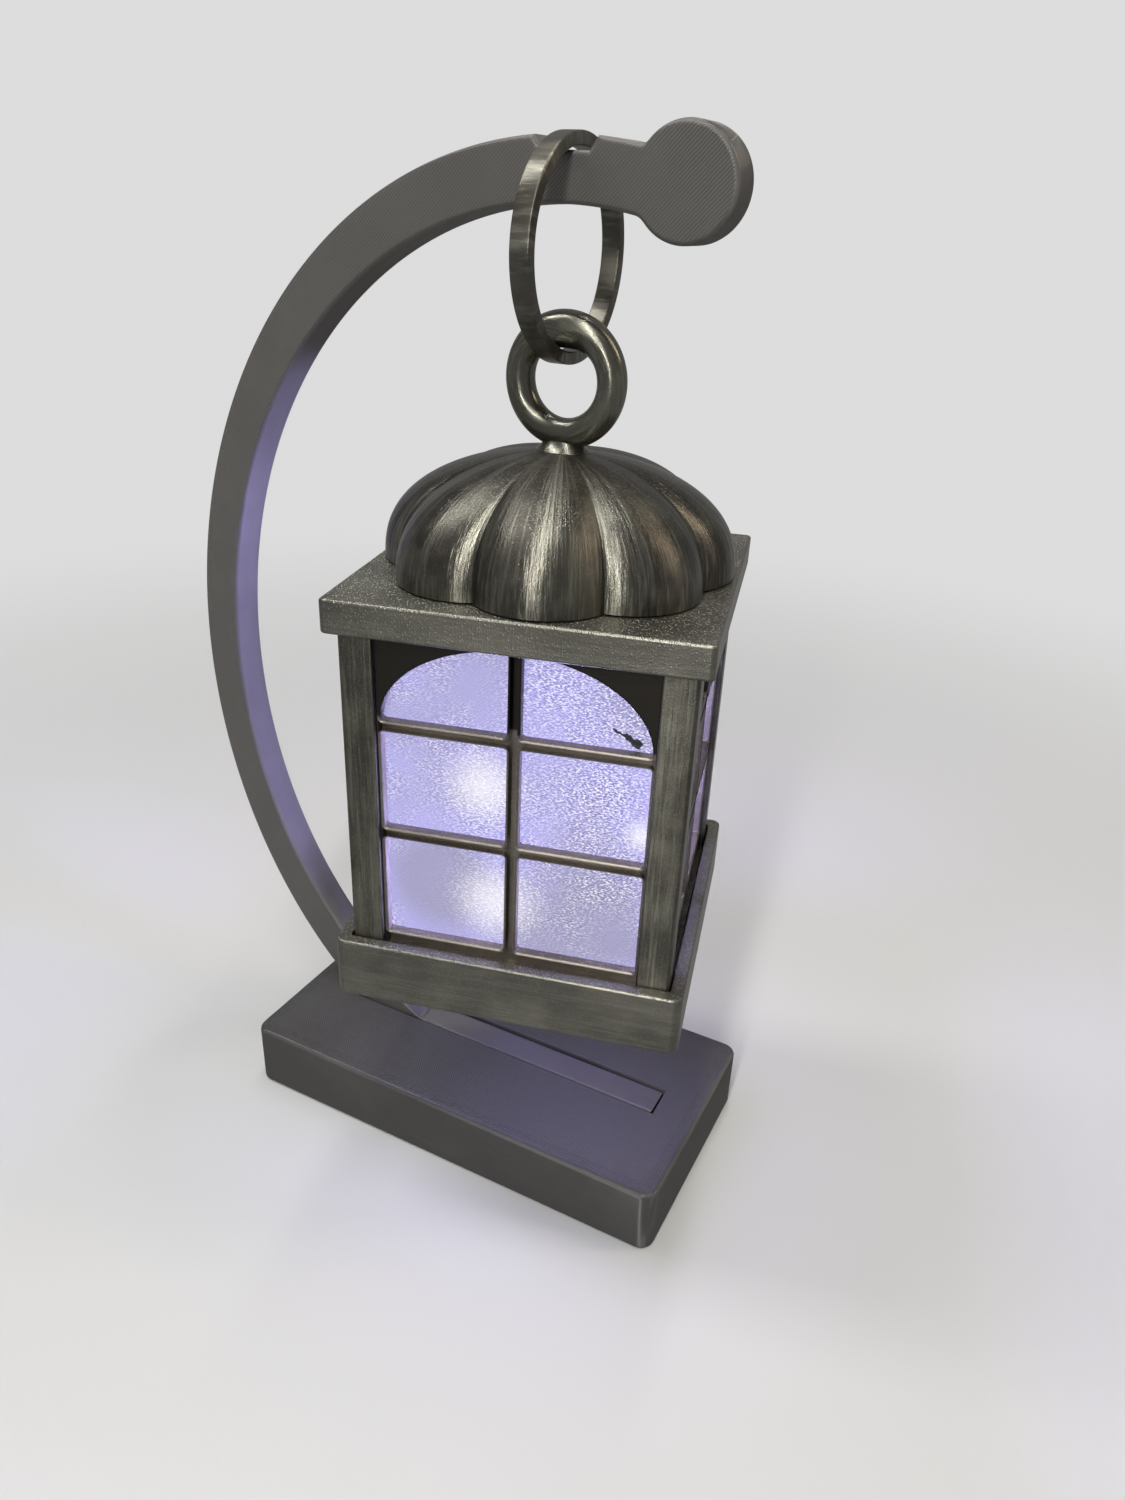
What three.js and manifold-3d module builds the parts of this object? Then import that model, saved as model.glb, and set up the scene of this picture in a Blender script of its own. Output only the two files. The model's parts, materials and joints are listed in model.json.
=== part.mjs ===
// Mini lantern on a curved stand, printed in plastic, with a battery tea light inside.
// Millimetres, +Z up. The origin is the middle of the base's underside, +X runs along the
// base towards the knob at the arm's end, and -Y faces the viewer.

import * as THREE from 'three';
import { mergeVertices } from 'three/addons/utils/BufferGeometryUtils.js';
import Module from 'manifold-3d';

const wasm = await Module();
wasm.setup();

// Play between pieces: resting or turning, and the play of a piece sunk into another
const seat = 0.3;
const slotEndPlay = 0.5;

// Stand base
const baseLength = 100;
const baseWidth = 50;
const baseHeight = 15;
const baseCorner = 3;
const baseEdge = 1;
const slotFloor = 2;
const footEnd = 40.3;
const footRecess = 0.4;

// Arm: a plate between two ellipses, with a foot bar, a knob and a notch for the ring
const plateThickness = 7.2;
const plateEdge = 0.9;
const hangX = 11.2;
const crownHeight = 197;
const armReach = 83.7;
const armUpperHalf = 99.2;
const outerNadir = -2.9;
const bandSide = 8.6;
const bandTop = 9.5;
const innerUpperHalf = 89.3;
const innerNadir = 7.4;
const knobRadius = 8.3;
const knobOut = 19.7;
const knobDrop = 6.1;
const knobUpperFillet = 1.2;
const knobLowerFillet = 3;
const notchDepth = 2.2;
const notchFloorHalf = 4;
const notchFlare = 1.4;

// Hanging ring: a flat band, in the plane across the arm
const ringInner = 14.75;
const ringWall = 2.05;
const ringWidth = 3.4;
const ringFacets = 64;

// Eye ring, with a foot and a stem through the roof
const eyeRadius = 8.55;
const eyeWire = 2.5;
const eyeSag = 1;
const eyeFootRadius = 4.2;
const eyeFootHeight = 2.6;
const stemRadius = 2;
const stemHeadRadius = 3.2;
const stemHeadHeight = 1.2;
const washerRadius = 6;
const washerHeight = 2;

// Roof dome
const lobes = 8;
const domeHeight = 20;
const lobeRadius = 31.3;
const creaseRadius = 27.7;
const domeRise = 2.43;
const domeFall = 1.97;
const domeTurn = 20;

// Housing: lid, cage of four posts, window frames and panes
const bodyTurn = 14.2;
const lidSize = 64;
const lidHeight = 5.9;
const lidCorner = 1;
const lidEdge = 0.4;
const lidRecess = 3.2;
const cageSize = 59.8;
const postSize = 5.9;
const postCorner = 0.7;
const bodyHeight = 60.5;
const topRailHeight = 2;
const skirtLip = 2.2;
const frameInset = 1;
const frameDepth = 1.9;
const stileWidth = 0.55;
const barHeight = 2.1;
const mullionWidth = 2.3;
const paneCorner = 0.5;
const sillHeight = 3.3;
const lowerPaneHeight = 20.3;
const middlePaneHeight = 18.9;
const archRise = 15;
const paneThickness = 1.5;
const rebate = 1.2;

// Base tray: the skirt with its floor
const skirtSize = 65.4;
const skirtHeight = 12.2;
const skirtCorner = 1.7;
const skirtEdge = 0.4;
const trayFloor = 2;
const trayLedge = 2;
const ledgeWidth = 3.4;
const fingerHoleRadius = 15;
const collarWall = 1.2;
const collarHeight = 2.5;

// Tea light
const lightRadius = 18.5;
const lightHeight = 15.5;
const caseWall = 1.2;
const caseTop = 1.8;
const neckRadius = 5.4;
const neckBore = 4.2;
const neckHeight = 1.4;
const sleeveRadius = 6.5;
const boardLevel = 9;
const boardThickness = 1;
const flameRadius = 6.9;
const flameHeight = 18;
const flameWall = 0.9;
const bottomPlate = 1.5;
const cellRadius = 10;
const cellThickness = 3.2;
const cellOffset = -2.5;
const doorRadius = 10.9;
const doorLug = 1.3;
const doorLugHeight = 0.8;
const doorLugAngle = 30;
const doorTurn = 45;
const coinSlotLength = 12;
const coinSlotWidth = 1.6;
const coinSlotDepth = 0.7;
const wellWall = 1;
const contactWidth = 4;
const contactThickness = 0.4;
const ledRadius = 2.5;
const ledFlange = 0.4;
const ledLength = 8.6;
const switchX = 13.4;
const switchTravel = 2.4;
const switchKnob = 2;
const switchKnobWidth = 1.5;
const switchProud = 0.5;
const switchSlide = 1;

// Steps round curves
const arcSteps = 6;
const ellipseSteps = 44;
const roundSteps = 32;
const boreSteps = 24;
const eyeSteps = 48;
const wireSteps = 12;
const lobeSteps = 8;
const domeSteps = 12;
const archSteps = 14;

// Colours and finishes
const standPlastic = finish('#5f6069', 0.45, 0.1);
const silkPlastic = finish('#5d574c', 0.32, 0.45);
const panePlastic = finish('#c9c4f2', 0.35, 0);
const whitePlastic = finish('#e9e7e0', 0.5, 0);
const flamePlastic = finish('#f3e6c4', 0.35, 0);
const boardGreen = finish('#2f6b45', 0.6, 0);
const metal = finish('#b9bcc0', 0.3, 0.9);
const ledPlastic = finish('#eef0ff', 0.15, 0);

const rad = THREE.MathUtils.degToRad;

function finish(color, roughness, metalness) {
  return new THREE.MeshStandardMaterial({ color, roughness, metalness });
}

// A closed solid from a three.js geometry: shared vertices merged, collapsed triangles dropped
function solid(geometry) {
  geometry.deleteAttribute('normal');
  geometry.deleteAttribute('uv');
  const merged = mergeVertices(geometry, 1e-4);
  const index = [];
  for (let i = 0; i < merged.index.count; i += 3) {
    const [a, b, c] = [0, 1, 2].map((k) => merged.index.getX(i + k));
    if (a !== b && b !== c && c !== a) index.push(a, b, c);
  }
  return new wasm.Manifold(new wasm.Mesh({
    numProp: 3,
    vertProperties: new Float32Array(merged.attributes.position.array),
    triVerts: new Uint32Array(index),
  }));
}

function geometryOf(body) {
  const mesh = body.getMesh();
  const geometry = new THREE.BufferGeometry();
  geometry.setAttribute('position', new THREE.BufferAttribute(mesh.vertProperties, 3));
  geometry.setIndex(new THREE.BufferAttribute(mesh.triVerts, 1));
  geometry.computeVertexNormals();
  return geometry;
}

function addPiece(group, name, body, material) {
  const mesh = new THREE.Mesh(geometryOf(body), material);
  mesh.name = name;
  group.add(mesh);
}

function roundedRect(width, depth, radius) {
  const [x, y] = [width / 2, depth / 2];
  const shape = new THREE.Shape();
  shape.moveTo(-x + radius, -y);
  shape.lineTo(x - radius, -y);
  shape.absarc(x - radius, -y + radius, radius, -Math.PI / 2, 0, false);
  shape.lineTo(x, y - radius);
  shape.absarc(x - radius, y - radius, radius, 0, Math.PI / 2, false);
  shape.lineTo(-x + radius, y);
  shape.absarc(-x + radius, y - radius, radius, Math.PI / 2, Math.PI, false);
  shape.lineTo(-x, -y + radius);
  shape.absarc(-x + radius, -y + radius, radius, Math.PI, 1.5 * Math.PI, false);
  return shape;
}

// A shape in the XY plane raised from one level to another, its edges eased by a bevel
function prism(shape, bottom, top, edge = 0, steps = arcSteps) {
  const geometry = new THREE.ExtrudeGeometry(shape, {
    depth: top - bottom - 2 * edge,
    steps: 1,
    curveSegments: steps,
    bevelEnabled: edge > 0,
    bevelThickness: edge,
    bevelSize: edge,
    bevelOffset: -edge,
    bevelSegments: 2,
  });
  return solid(geometry.translate(0, 0, bottom + edge));
}

// A shape drawn in X and Z, standing up, with its middle plane at y
function upright(shape, y, thickness, edge = 0, steps = arcSteps) {
  return prism(shape, -thickness / 2, thickness / 2, edge, steps)
    .rotate([90, 0, 0]).translate([0, y, 0]);
}

function block(width, depth, bottom, top, x = 0, y = 0) {
  const geometry = new THREE.BoxGeometry(width, depth, top - bottom);
  return solid(geometry.translate(x, y, (bottom + top) / 2));
}

function cylinder(radius, bottom, top, x = 0, y = 0, steps = boreSteps) {
  const geometry = new THREE.CylinderGeometry(radius, radius, top - bottom, steps);
  return solid(geometry.rotateX(Math.PI / 2).translate(x, y, (bottom + top) / 2));
}

// A profile of [radius, height] points turned about the Z axis
function turned(profile, steps = roundSteps) {
  const points = profile.map(([r, z]) => new THREE.Vector2(r, z));
  return solid(new THREE.LatheGeometry(points, steps).rotateX(Math.PI / 2));
}

// A closed loop of rings of points, joined into one skin; each ring is a list of [x, y, z]
function skin(rings, caps) {
  const [rows, columns] = [rings.length, rings[0].length];
  const position = rings.flat(2);
  const index = [];
  const at = (i, j) => (i % rows) * columns + (j % columns);
  for (let i = 0; i < (caps ? rows - 1 : rows); i += 1) {
    for (let j = 0; j < columns; j += 1) {
      index.push(at(i, j), at(i, j + 1), at(i + 1, j));
      index.push(at(i, j + 1), at(i + 1, j + 1), at(i + 1, j));
    }
  }
  if (caps) {
    const [low, high] = [position.length / 3, position.length / 3 + 1];
    position.push(...caps[0], ...caps[1]);
    for (let j = 0; j < columns; j += 1) {
      index.push(low, at(0, j + 1), at(0, j));
      index.push(high, at(rows - 1, j), at(rows - 1, j + 1));
    }
  }
  const geometry = new THREE.BufferGeometry();
  geometry.setAttribute('position', new THREE.Float32BufferAttribute(position, 3));
  geometry.setIndex(index);
  return solid(geometry);
}

// Levels, worked down from the arm's crown to the skirt
const notchFloor = crownHeight - notchDepth;
const ringZ = notchFloor + seat - Math.sqrt(ringInner ** 2 - (plateThickness / 2) ** 2);
const ringOuter = ringInner + ringWall;
const eyeZ = ringZ - ringInner + seat - bandHeightInEye();
const domeTop = eyeZ - eyeRadius - eyeWire;
const domeBottom = domeTop - domeHeight;
const lidTop = domeBottom - seat;
const lidBottom = lidTop - lidHeight;
const recessTop = lidBottom + lidRecess;
const skirtTop = lidBottom - bodyHeight;
const skirtBottom = skirtTop - skirtHeight;
const floorTop = skirtBottom + trayFloor;
const ledgeTop = floorTop + trayLedge;
const cageTop = recessTop - seat;
const cageBottom = ledgeTop + seat;
const bottomRailTop = skirtTop - skirtLip;
const topRailBottom = cageTop - topRailHeight;
const lightBottom = floorTop + seat;
const cageHalf = cageSize / 2;
const paneFront = cageHalf - frameInset - frameDepth;
const postInner = cageHalf - postSize;

// Stand base, with the slot that takes the arm's foot bar
function standBase() {
  const body = prism(roundedRect(baseLength, baseWidth, baseCorner), 0, baseHeight, baseEdge);
  const from = armOuterX(baseHeight) - seat;
  const to = footEnd + slotEndPlay;
  const width = plateThickness + 2 * seat;
  return body.subtract(block(to - from, width, slotFloor, baseHeight + 1, (from + to) / 2));
}

// The arm's two edges, as ellipses about the hang axis. Each has its own upper and lower half,
// so that it passes through its highest and lowest level. Below, t is the angle round it.
function armEllipse(top, upper, bottom, a) {
  const z = top - upper;
  return { z, a, upper, lower: z - bottom };
}

const outerEllipse = armEllipse(crownHeight, armUpperHalf, outerNadir, armReach);
const innerEllipse = armEllipse(
  crownHeight - bandTop, innerUpperHalf, innerNadir, armReach - bandSide,
);

function onEllipse(ellipse, t, out = 0) {
  const b = Math.sin(t) < 0 ? ellipse.lower : ellipse.upper;
  const [x, z] = [ellipse.a * Math.cos(t), b * Math.sin(t)];
  const normal = new THREE.Vector2(x / ellipse.a ** 2, z / b ** 2).normalize();
  return new THREE.Vector2(hangX + x, ellipse.z + z).addScaledVector(normal, out);
}

// The angle at which the left limb of an ellipse reaches a height
function angleAtHeight(ellipse, z) {
  return Math.PI + Math.asin((ellipse.z - z) / ellipse.lower);
}

function armOuterX(z) {
  return onEllipse(outerEllipse, angleAtHeight(outerEllipse, z)).x;
}

// The angle at which a fillet circle, out from the ellipse, also touches the knob
function filletAngle(ellipse, out, knob, radius) {
  let [near, far] = [Math.PI / 2, rad(77)];
  for (let i = 0; i < 50; i += 1) {
    const middle = (near + far) / 2;
    const gap = onEllipse(ellipse, middle, out).distanceTo(knob) - knobRadius - radius;
    if (gap > 0) near = middle;
    else far = middle;
  }
  return near;
}

function arcPoints(centre, radius, from, to, steps) {
  return Array.from({ length: steps + 1 }, (_, i) => {
    const angle = from + (to - from) * i / steps;
    return new THREE.Vector2(
      centre.x + radius * Math.cos(angle),
      centre.y + radius * Math.sin(angle),
    );
  });
}

function ellipsePoints(ellipse, from, to, steps) {
  return Array.from({ length: steps + 1 }, (_, i) => (
    onEllipse(ellipse, from + (to - from) * i / steps)
  ));
}

// Arm outline: along the foot bar, up the inner edge, round the knob, back over the outer edge
function standArm() {
  const knob = new THREE.Vector2(hangX + knobOut, crownHeight - knobDrop);
  const footTop = baseHeight - footRecess;
  const footBottom = slotFloor + seat;
  const heel = armOuterX(baseHeight);
  const lower = filletAngle(innerEllipse, -knobLowerFillet, knob, knobLowerFillet);
  const upper = filletAngle(outerEllipse, knobUpperFillet, knob, knobUpperFillet);
  const lowerCentre = onEllipse(innerEllipse, lower, -knobLowerFillet);
  const upperCentre = onEllipse(outerEllipse, upper, knobUpperFillet);
  const angleFrom = (centre, point) => Math.atan2(point.y - centre.y, point.x - centre.x);
  const lowerStart = angleFrom(lowerCentre, onEllipse(innerEllipse, lower));
  const lowerEnd = angleFrom(lowerCentre, knob);
  const upperStart = angleFrom(upperCentre, knob);
  const upperEnd = angleFrom(upperCentre, onEllipse(outerEllipse, upper));
  const knobStart = angleFrom(knob, lowerCentre);
  const knobEnd = angleFrom(knob, upperCentre);
  const outline = [
    new THREE.Vector2(heel, footBottom),
    new THREE.Vector2(footEnd, footBottom),
    new THREE.Vector2(footEnd, footTop),
    ...ellipsePoints(innerEllipse, angleAtHeight(innerEllipse, footTop), lower, ellipseSteps),
    ...arcPoints(lowerCentre, knobLowerFillet, lowerStart, lowerEnd, arcSteps).slice(1),
    ...arcPoints(knob, knobRadius, knobStart, knobEnd, roundSteps).slice(1),
    ...arcPoints(upperCentre, knobUpperFillet, upperStart, upperEnd, arcSteps).slice(1, -1),
    ...ellipsePoints(outerEllipse, upper, angleAtHeight(outerEllipse, baseHeight), ellipseSteps),
  ];
  const arm = upright(new THREE.Shape(outline), 0, plateThickness, plateEdge);
  return arm.subtract(notch());
}

// The notch that keeps the hanging ring in its place on the crown
function notch() {
  const above = crownHeight + notchDepth;
  const flare = notchFloorHalf + notchFlare * (above - notchFloor) / notchDepth;
  const outline = [
    new THREE.Vector2(hangX - notchFloorHalf, notchFloor),
    new THREE.Vector2(hangX + notchFloorHalf, notchFloor),
    new THREE.Vector2(hangX + flare, above),
    new THREE.Vector2(hangX - flare, above),
  ];
  return upright(new THREE.Shape(outline), 0, plateThickness + 2);
}

// Hanging ring: a band round the X axis
function hangingRing() {
  const [inner, half] = [ringInner, ringWidth / 2];
  const band = turned([
    [inner, -half], [ringOuter, -half], [ringOuter, half], [inner, half], [inner, -half],
  ], ringFacets);
  return band.rotate([0, 90, 0]).translate([0, 0, ringZ]);
}

// The eye's hole is flatter at the top, where the print sags
function eyeSagAt(angle) {
  return eyeSag * Math.max(0, Math.sin(angle)) ** 4;
}

// Height over the eye's middle at which the edges of the ring's band meet the hole
function bandHeightInEye() {
  const half = ringWidth / 2;
  let height = eyeRadius - eyeWire;
  for (let i = 0; i < 30; i += 1) {
    const bore = eyeRadius - eyeWire - eyeSagAt(Math.atan2(height, half));
    height = Math.sqrt(bore ** 2 - half ** 2);
  }
  return height;
}

// Eye ring in the plane of the arm, with its foot on the dome and its stem down to the head
function eyeRing() {
  const rings = Array.from({ length: eyeSteps }, (_, i) => {
    const angle = 2 * Math.PI * i / eyeSteps;
    const sag = eyeSagAt(angle) / 2;
    const wire = eyeWire + sag;
    return Array.from({ length: wireSteps }, (__, j) => {
      const around = 2 * Math.PI * j / wireSteps;
      const out = eyeRadius - sag + wire * Math.cos(around);
      return [out * Math.cos(angle), wire * Math.sin(around), eyeZ + out * Math.sin(angle)];
    });
  });
  const washerBottom = recessTop - seat - washerHeight;
  const headTop = washerBottom - seat;
  const stem = turned([
    [0, headTop - stemHeadHeight], [stemHeadRadius, headTop - stemHeadHeight],
    [stemHeadRadius, headTop], [stemRadius, headTop], [stemRadius, domeTop + seat],
    [eyeFootRadius, domeTop + seat], [eyeFootRadius * 0.93, domeTop + eyeFootHeight * 0.4],
    [eyeFootRadius * 0.68, domeTop + eyeFootHeight * 0.9], [0, domeTop + eyeFootHeight],
  ], boreSteps);
  return skin(rings).add(stem);
}

// Washer on the stem, under the lid, that carries the housing
function stemWasher() {
  const top = recessTop - seat;
  const bore = stemRadius + seat;
  return turned([
    [bore, top - washerHeight], [washerRadius, top - washerHeight],
    [washerRadius, top], [bore, top], [bore, top - washerHeight],
  ], boreSteps);
}

// Distance from the axis to one lobe's arc, at an angle from the lobe's middle.
// The arc runs from crease to crease through the lobe's tip.
function lobeReach(angle) {
  const half = creaseRadius * Math.sin(Math.PI / lobes);
  const bulge = lobeRadius - creaseRadius * Math.cos(Math.PI / lobes);
  const radius = (half ** 2 + bulge ** 2) / (2 * bulge);
  const centre = lobeRadius - radius;
  return centre * Math.cos(angle) + Math.sqrt(radius ** 2 - (centre * Math.sin(angle)) ** 2);
}

// Dome: lobes that shrink up to the top along a flattened superellipse
function domeRoof() {
  const columns = lobes * lobeSteps;
  const rings = Array.from({ length: domeSteps }, (_, i) => {
    const t = Math.PI / 2 * i / domeSteps;
    const height = domeHeight * Math.sin(t) ** (2 / domeRise);
    const scale = Math.cos(t) ** (2 / domeFall);
    return Array.from({ length: columns }, (__, j) => {
      const fromLobe = (j % lobeSteps) / lobeSteps * 2 * Math.PI / lobes - Math.PI / lobes;
      const angle = rad(domeTurn) + 2 * Math.PI * j / columns - Math.PI / lobes;
      const reach = lobeReach(fromLobe) * scale;
      return [reach * Math.cos(angle), reach * Math.sin(angle), domeBottom + height];
    });
  });
  const dome = skin(rings, [[0, 0, domeBottom], [0, 0, domeTop]]);
  return dome.subtract(cylinder(stemRadius + seat, domeBottom - 1, domeTop + 1));
}

// Lid: a square cap whose underside takes the top of the cage
function lidPlate() {
  const recess = cageSize + 2 * seat;
  return prism(roundedRect(lidSize, lidSize, lidCorner), lidBottom, lidTop, lidEdge, 3)
    .subtract(block(recess, recess, lidBottom - 1, recessTop))
    .subtract(cylinder(stemRadius + seat, lidBottom, lidTop + 1));
}

// One corner post: a square with a rebate inside for the edges of two panes
function cornerPost() {
  const [outer, inner, step, front] = [cageHalf, postInner, postInner + rebate, paneFront];
  const shape = new THREE.Shape();
  shape.moveTo(inner, outer);
  shape.lineTo(inner, front);
  shape.lineTo(step, front);
  shape.lineTo(step, step);
  shape.lineTo(front, step);
  shape.lineTo(front, inner);
  shape.lineTo(outer, inner);
  shape.lineTo(outer, outer - postCorner);
  shape.absarc(outer - postCorner, outer - postCorner, postCorner, 0, Math.PI / 2, false);
  return prism(shape, cageBottom, cageTop, 0, 3);
}

function squareRail(inner, bottom, top) {
  return prism(roundedRect(cageSize, cageSize, postCorner), bottom, top, 0, 3)
    .subtract(block(2 * inner, 2 * inner, bottom - 1, top + 1));
}

// Cage: four posts between a bottom rail in the tray and a top rail in the lid
function bodyCage() {
  let cage = squareRail(postInner + rebate, cageBottom, bottomRailTop)
    .add(squareRail(paneFront, topRailBottom, cageTop));
  for (let side = 0; side < 4; side += 1) cage = cage.add(cornerPost().rotate([0, 0, 90 * side]));
  return cage;
}

// Window levels, from the sill up to the arch
const frameBottom = bottomRailTop + seat;
const frameTop = topRailBottom - seat;
const lowerPaneBottom = frameBottom + sillHeight;
const middlePaneBottom = lowerPaneBottom + lowerPaneHeight + barHeight;
const archSpring = middlePaneBottom + middlePaneHeight + barHeight;
const frameHalf = postInner - seat / 2;
const lightHalf = frameHalf - stileWidth;

function paneOpening(left, right, bottom, top) {
  const [width, height] = [right - left, top - bottom];
  return upright(roundedRect(width, height, paneCorner), 0, frameDepth + 2, 0, 2)
    .translate([(left + right) / 2, 0, (bottom + top) / 2]);
}

// Half of the arch: a quarter ellipse cut off at the mullion
function archOpening(side) {
  const from = mullionWidth / 2;
  const start = Math.acos(from / lightHalf);
  const points = [new THREE.Vector2(side * from, archSpring)];
  for (let i = 0; i <= archSteps; i += 1) {
    const t = start * i / archSteps;
    points.push(new THREE.Vector2(
      side * lightHalf * Math.cos(t),
      archSpring + archRise * Math.sin(t),
    ));
  }
  return upright(new THREE.Shape(points), 0, frameDepth + 2);
}

// Window frame: two columns, two square rows and an arch on top
function windowFrame() {
  let frame = block(2 * frameHalf, frameDepth, frameBottom, frameTop);
  const rows = [
    [lowerPaneBottom, lowerPaneHeight],
    [middlePaneBottom, middlePaneHeight],
  ];
  for (const side of [-1, 1]) {
    const [near, far] = [side * mullionWidth / 2, side * lightHalf];
    const [left, right] = [Math.min(near, far), Math.max(near, far)];
    for (const [bottom, height] of rows) {
      frame = frame.subtract(paneOpening(left, right, bottom, bottom + height));
    }
    frame = frame.subtract(archOpening(side));
  }
  return frame.translate([0, -(paneFront + frameDepth / 2), 0]);
}

// Diffuser pane, behind a window frame, in the rebates of two posts
function diffuserPane() {
  const width = 2 * (postInner + rebate - seat);
  const back = paneFront - seat - paneThickness;
  return block(width, paneThickness, frameBottom, cageTop - seat, 0, -(back + paneThickness / 2));
}

// Base tray: the skirt, a ledge for the cage, a floor with a finger hole and a low collar
function baseTray() {
  const pocket = cageSize + 2 * seat;
  const well = cageSize - 2 * ledgeWidth;
  const collarInner = lightRadius + seat;
  const collar = turned([
    [collarInner, floorTop - 0.5], [collarInner + collarWall, floorTop - 0.5],
    [collarInner + collarWall, floorTop + collarHeight], [collarInner, floorTop + collarHeight],
    [collarInner, floorTop - 0.5],
  ], roundSteps);
  return prism(roundedRect(skirtSize, skirtSize, skirtCorner), skirtBottom, skirtTop, skirtEdge, 3)
    .subtract(block(pocket, pocket, ledgeTop, skirtTop + 1))
    .subtract(block(well, well, floorTop, ledgeTop + 1))
    .add(collar)
    .subtract(cylinder(fingerHoleRadius, skirtBottom - 1, floorTop + 1, 0, 0, roundSteps));
}

// Tea light case: a cup turned upside down, with a neck and a sleeve for the lamp
function lightCase() {
  const top = lightHeight;
  const inside = lightRadius - caseWall;
  const sleeveBottom = boardLevel + boardThickness + seat;
  return turned([
    [lightRadius, 0], [lightRadius, top - 1], [lightRadius - 1, top], [lightRadius - 2.6, top - 0.2],
    [neckRadius + 4, top - 0.9], [neckRadius, top - 0.8], [neckRadius, top - 0.8 + neckHeight],
    [neckBore, top - 0.8 + neckHeight], [neckBore, sleeveBottom], [sleeveRadius, sleeveBottom],
    [sleeveRadius, top - 0.9 - caseTop], [inside, top - caseTop], [inside, 0], [lightRadius, 0],
  ]).translate([0, 0, lightBottom]);
}

// Bottom plate, with the battery well, the bayonet's gaps and the switch's slot
function lightPlate() {
  const radius = lightRadius - caseWall - seat;
  const opening = doorRadius + seat;
  const wellInner = doorRadius + doorLug + seat;
  const wellTop = cellTop() + seat;
  const well = turned([
    [wellInner, bottomPlate - 0.5], [wellInner + wellWall, bottomPlate - 0.5],
    [wellInner + wellWall, wellTop], [wellInner, wellTop], [wellInner, bottomPlate - 0.5],
  ]).translate([cellOffset, 0, 0]);
  const slot = block(
    switchKnobWidth + 2 * seat, switchKnob + switchTravel + 2 * seat,
    -1, bottomPlate + 1, switchX, switchTravel / 2,
  );
  const plate = cylinder(radius, 0, bottomPlate, 0, 0, roundSteps)
    .subtract(cylinder(opening, -1, bottomPlate + 1, cellOffset, 0, roundSteps))
    .add(well)
    .subtract(doorLugs(doorLugAngle + 6, doorTurn, opening - 1, wellInner, -1, bottomPlate + 1))
    .subtract(slot);
  return plate.translate([0, 0, lightBottom]);
}

// Two sectors of a ring about the door's axis, used for the lugs and for their gaps
function doorLugs(width, turn, from, to, bottom, top) {
  const sector = (middle) => {
    const [start, end] = [rad(middle - width / 2), rad(middle + width / 2)];
    const origin = new THREE.Vector2(cellOffset, 0);
    return prism(new THREE.Shape([
      ...arcPoints(origin, to, start, end, arcSteps),
      ...arcPoints(origin, from, end, start, arcSteps),
    ]), bottom, top);
  };
  return sector(90 + turn).add(sector(270 + turn));
}

function doorTop() {
  return bottomPlate + seat + doorLugHeight;
}

function cellTop() {
  return doorTop() + seat + cellThickness;
}

// Battery door: a disc with two lugs behind the plate and a coin slot underneath
function batteryDoor() {
  const lugBottom = bottomPlate + seat;
  return cylinder(doorRadius, 0, doorTop(), cellOffset, 0, roundSteps)
    .add(doorLugs(doorLugAngle, 0, doorRadius - 1, doorRadius + doorLug, lugBottom, doorTop()))
    .subtract(block(coinSlotWidth, coinSlotLength, -1, coinSlotDepth, cellOffset))
    .translate([0, 0, lightBottom]);
}

function batteryCell() {
  const [bottom, top, step] = [doorTop() + seat, cellTop(), 0.3];
  return turned([
    [0, bottom], [cellRadius - 1.2, bottom], [cellRadius - 1.2, bottom + step],
    [cellRadius, bottom + step], [cellRadius, top], [0, top],
  ]).translate([cellOffset, 0, lightBottom]);
}

// Leaf on top of the cell, bent up to the board
function contactSpring() {
  const leafBottom = cellTop() + seat;
  const boardBottom = boardLevel - seat;
  const [width, thick] = [contactWidth, contactThickness];
  return block(cellRadius, width, leafBottom, leafBottom + thick, cellOffset)
    .add(block(thick, width, leafBottom, boardBottom, cellOffset + cellRadius / 2 - thick / 2))
    .translate([0, 0, lightBottom]);
}

// Strip beside the cell, bent over to the board
function contactPlate() {
  const side = cellRadius + seat + contactThickness / 2;
  const from = doorTop() + seat;
  const boardBottom = boardLevel - seat;
  const inward = side - sleeveRadius + contactWidth / 2;
  return block(contactWidth, contactThickness, from, boardBottom, cellOffset, side)
    .add(block(
      contactWidth, inward, boardBottom - contactThickness, boardBottom,
      cellOffset, side - inward / 2,
    ))
    .translate([0, 0, lightBottom]);
}

function circuitBoard() {
  const radius = sleeveRadius + 1;
  return cylinder(radius, boardLevel, boardLevel + boardThickness, 0, 0, boreSteps)
    .translate([0, 0, lightBottom]);
}

// Lamp: a flanged cylinder with a round end, standing on the board inside the sleeve
function ledBulb() {
  const bottom = boardLevel + boardThickness + seat;
  const shoulder = bottom + ledLength - ledRadius;
  const profile = [
    [0, bottom], [ledRadius + ledFlange, bottom], [ledRadius + ledFlange, bottom + 1],
    [ledRadius, bottom + 1],
  ];
  for (let i = 0; i <= arcSteps; i += 1) {
    const angle = Math.PI / 2 * i / arcSteps;
    profile.push([
      i < arcSteps ? ledRadius * Math.cos(angle) : 0,
      shoulder + ledRadius * Math.sin(angle),
    ]);
  }
  return turned(profile, 20).translate([0, 0, lightBottom]);
}

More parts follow.
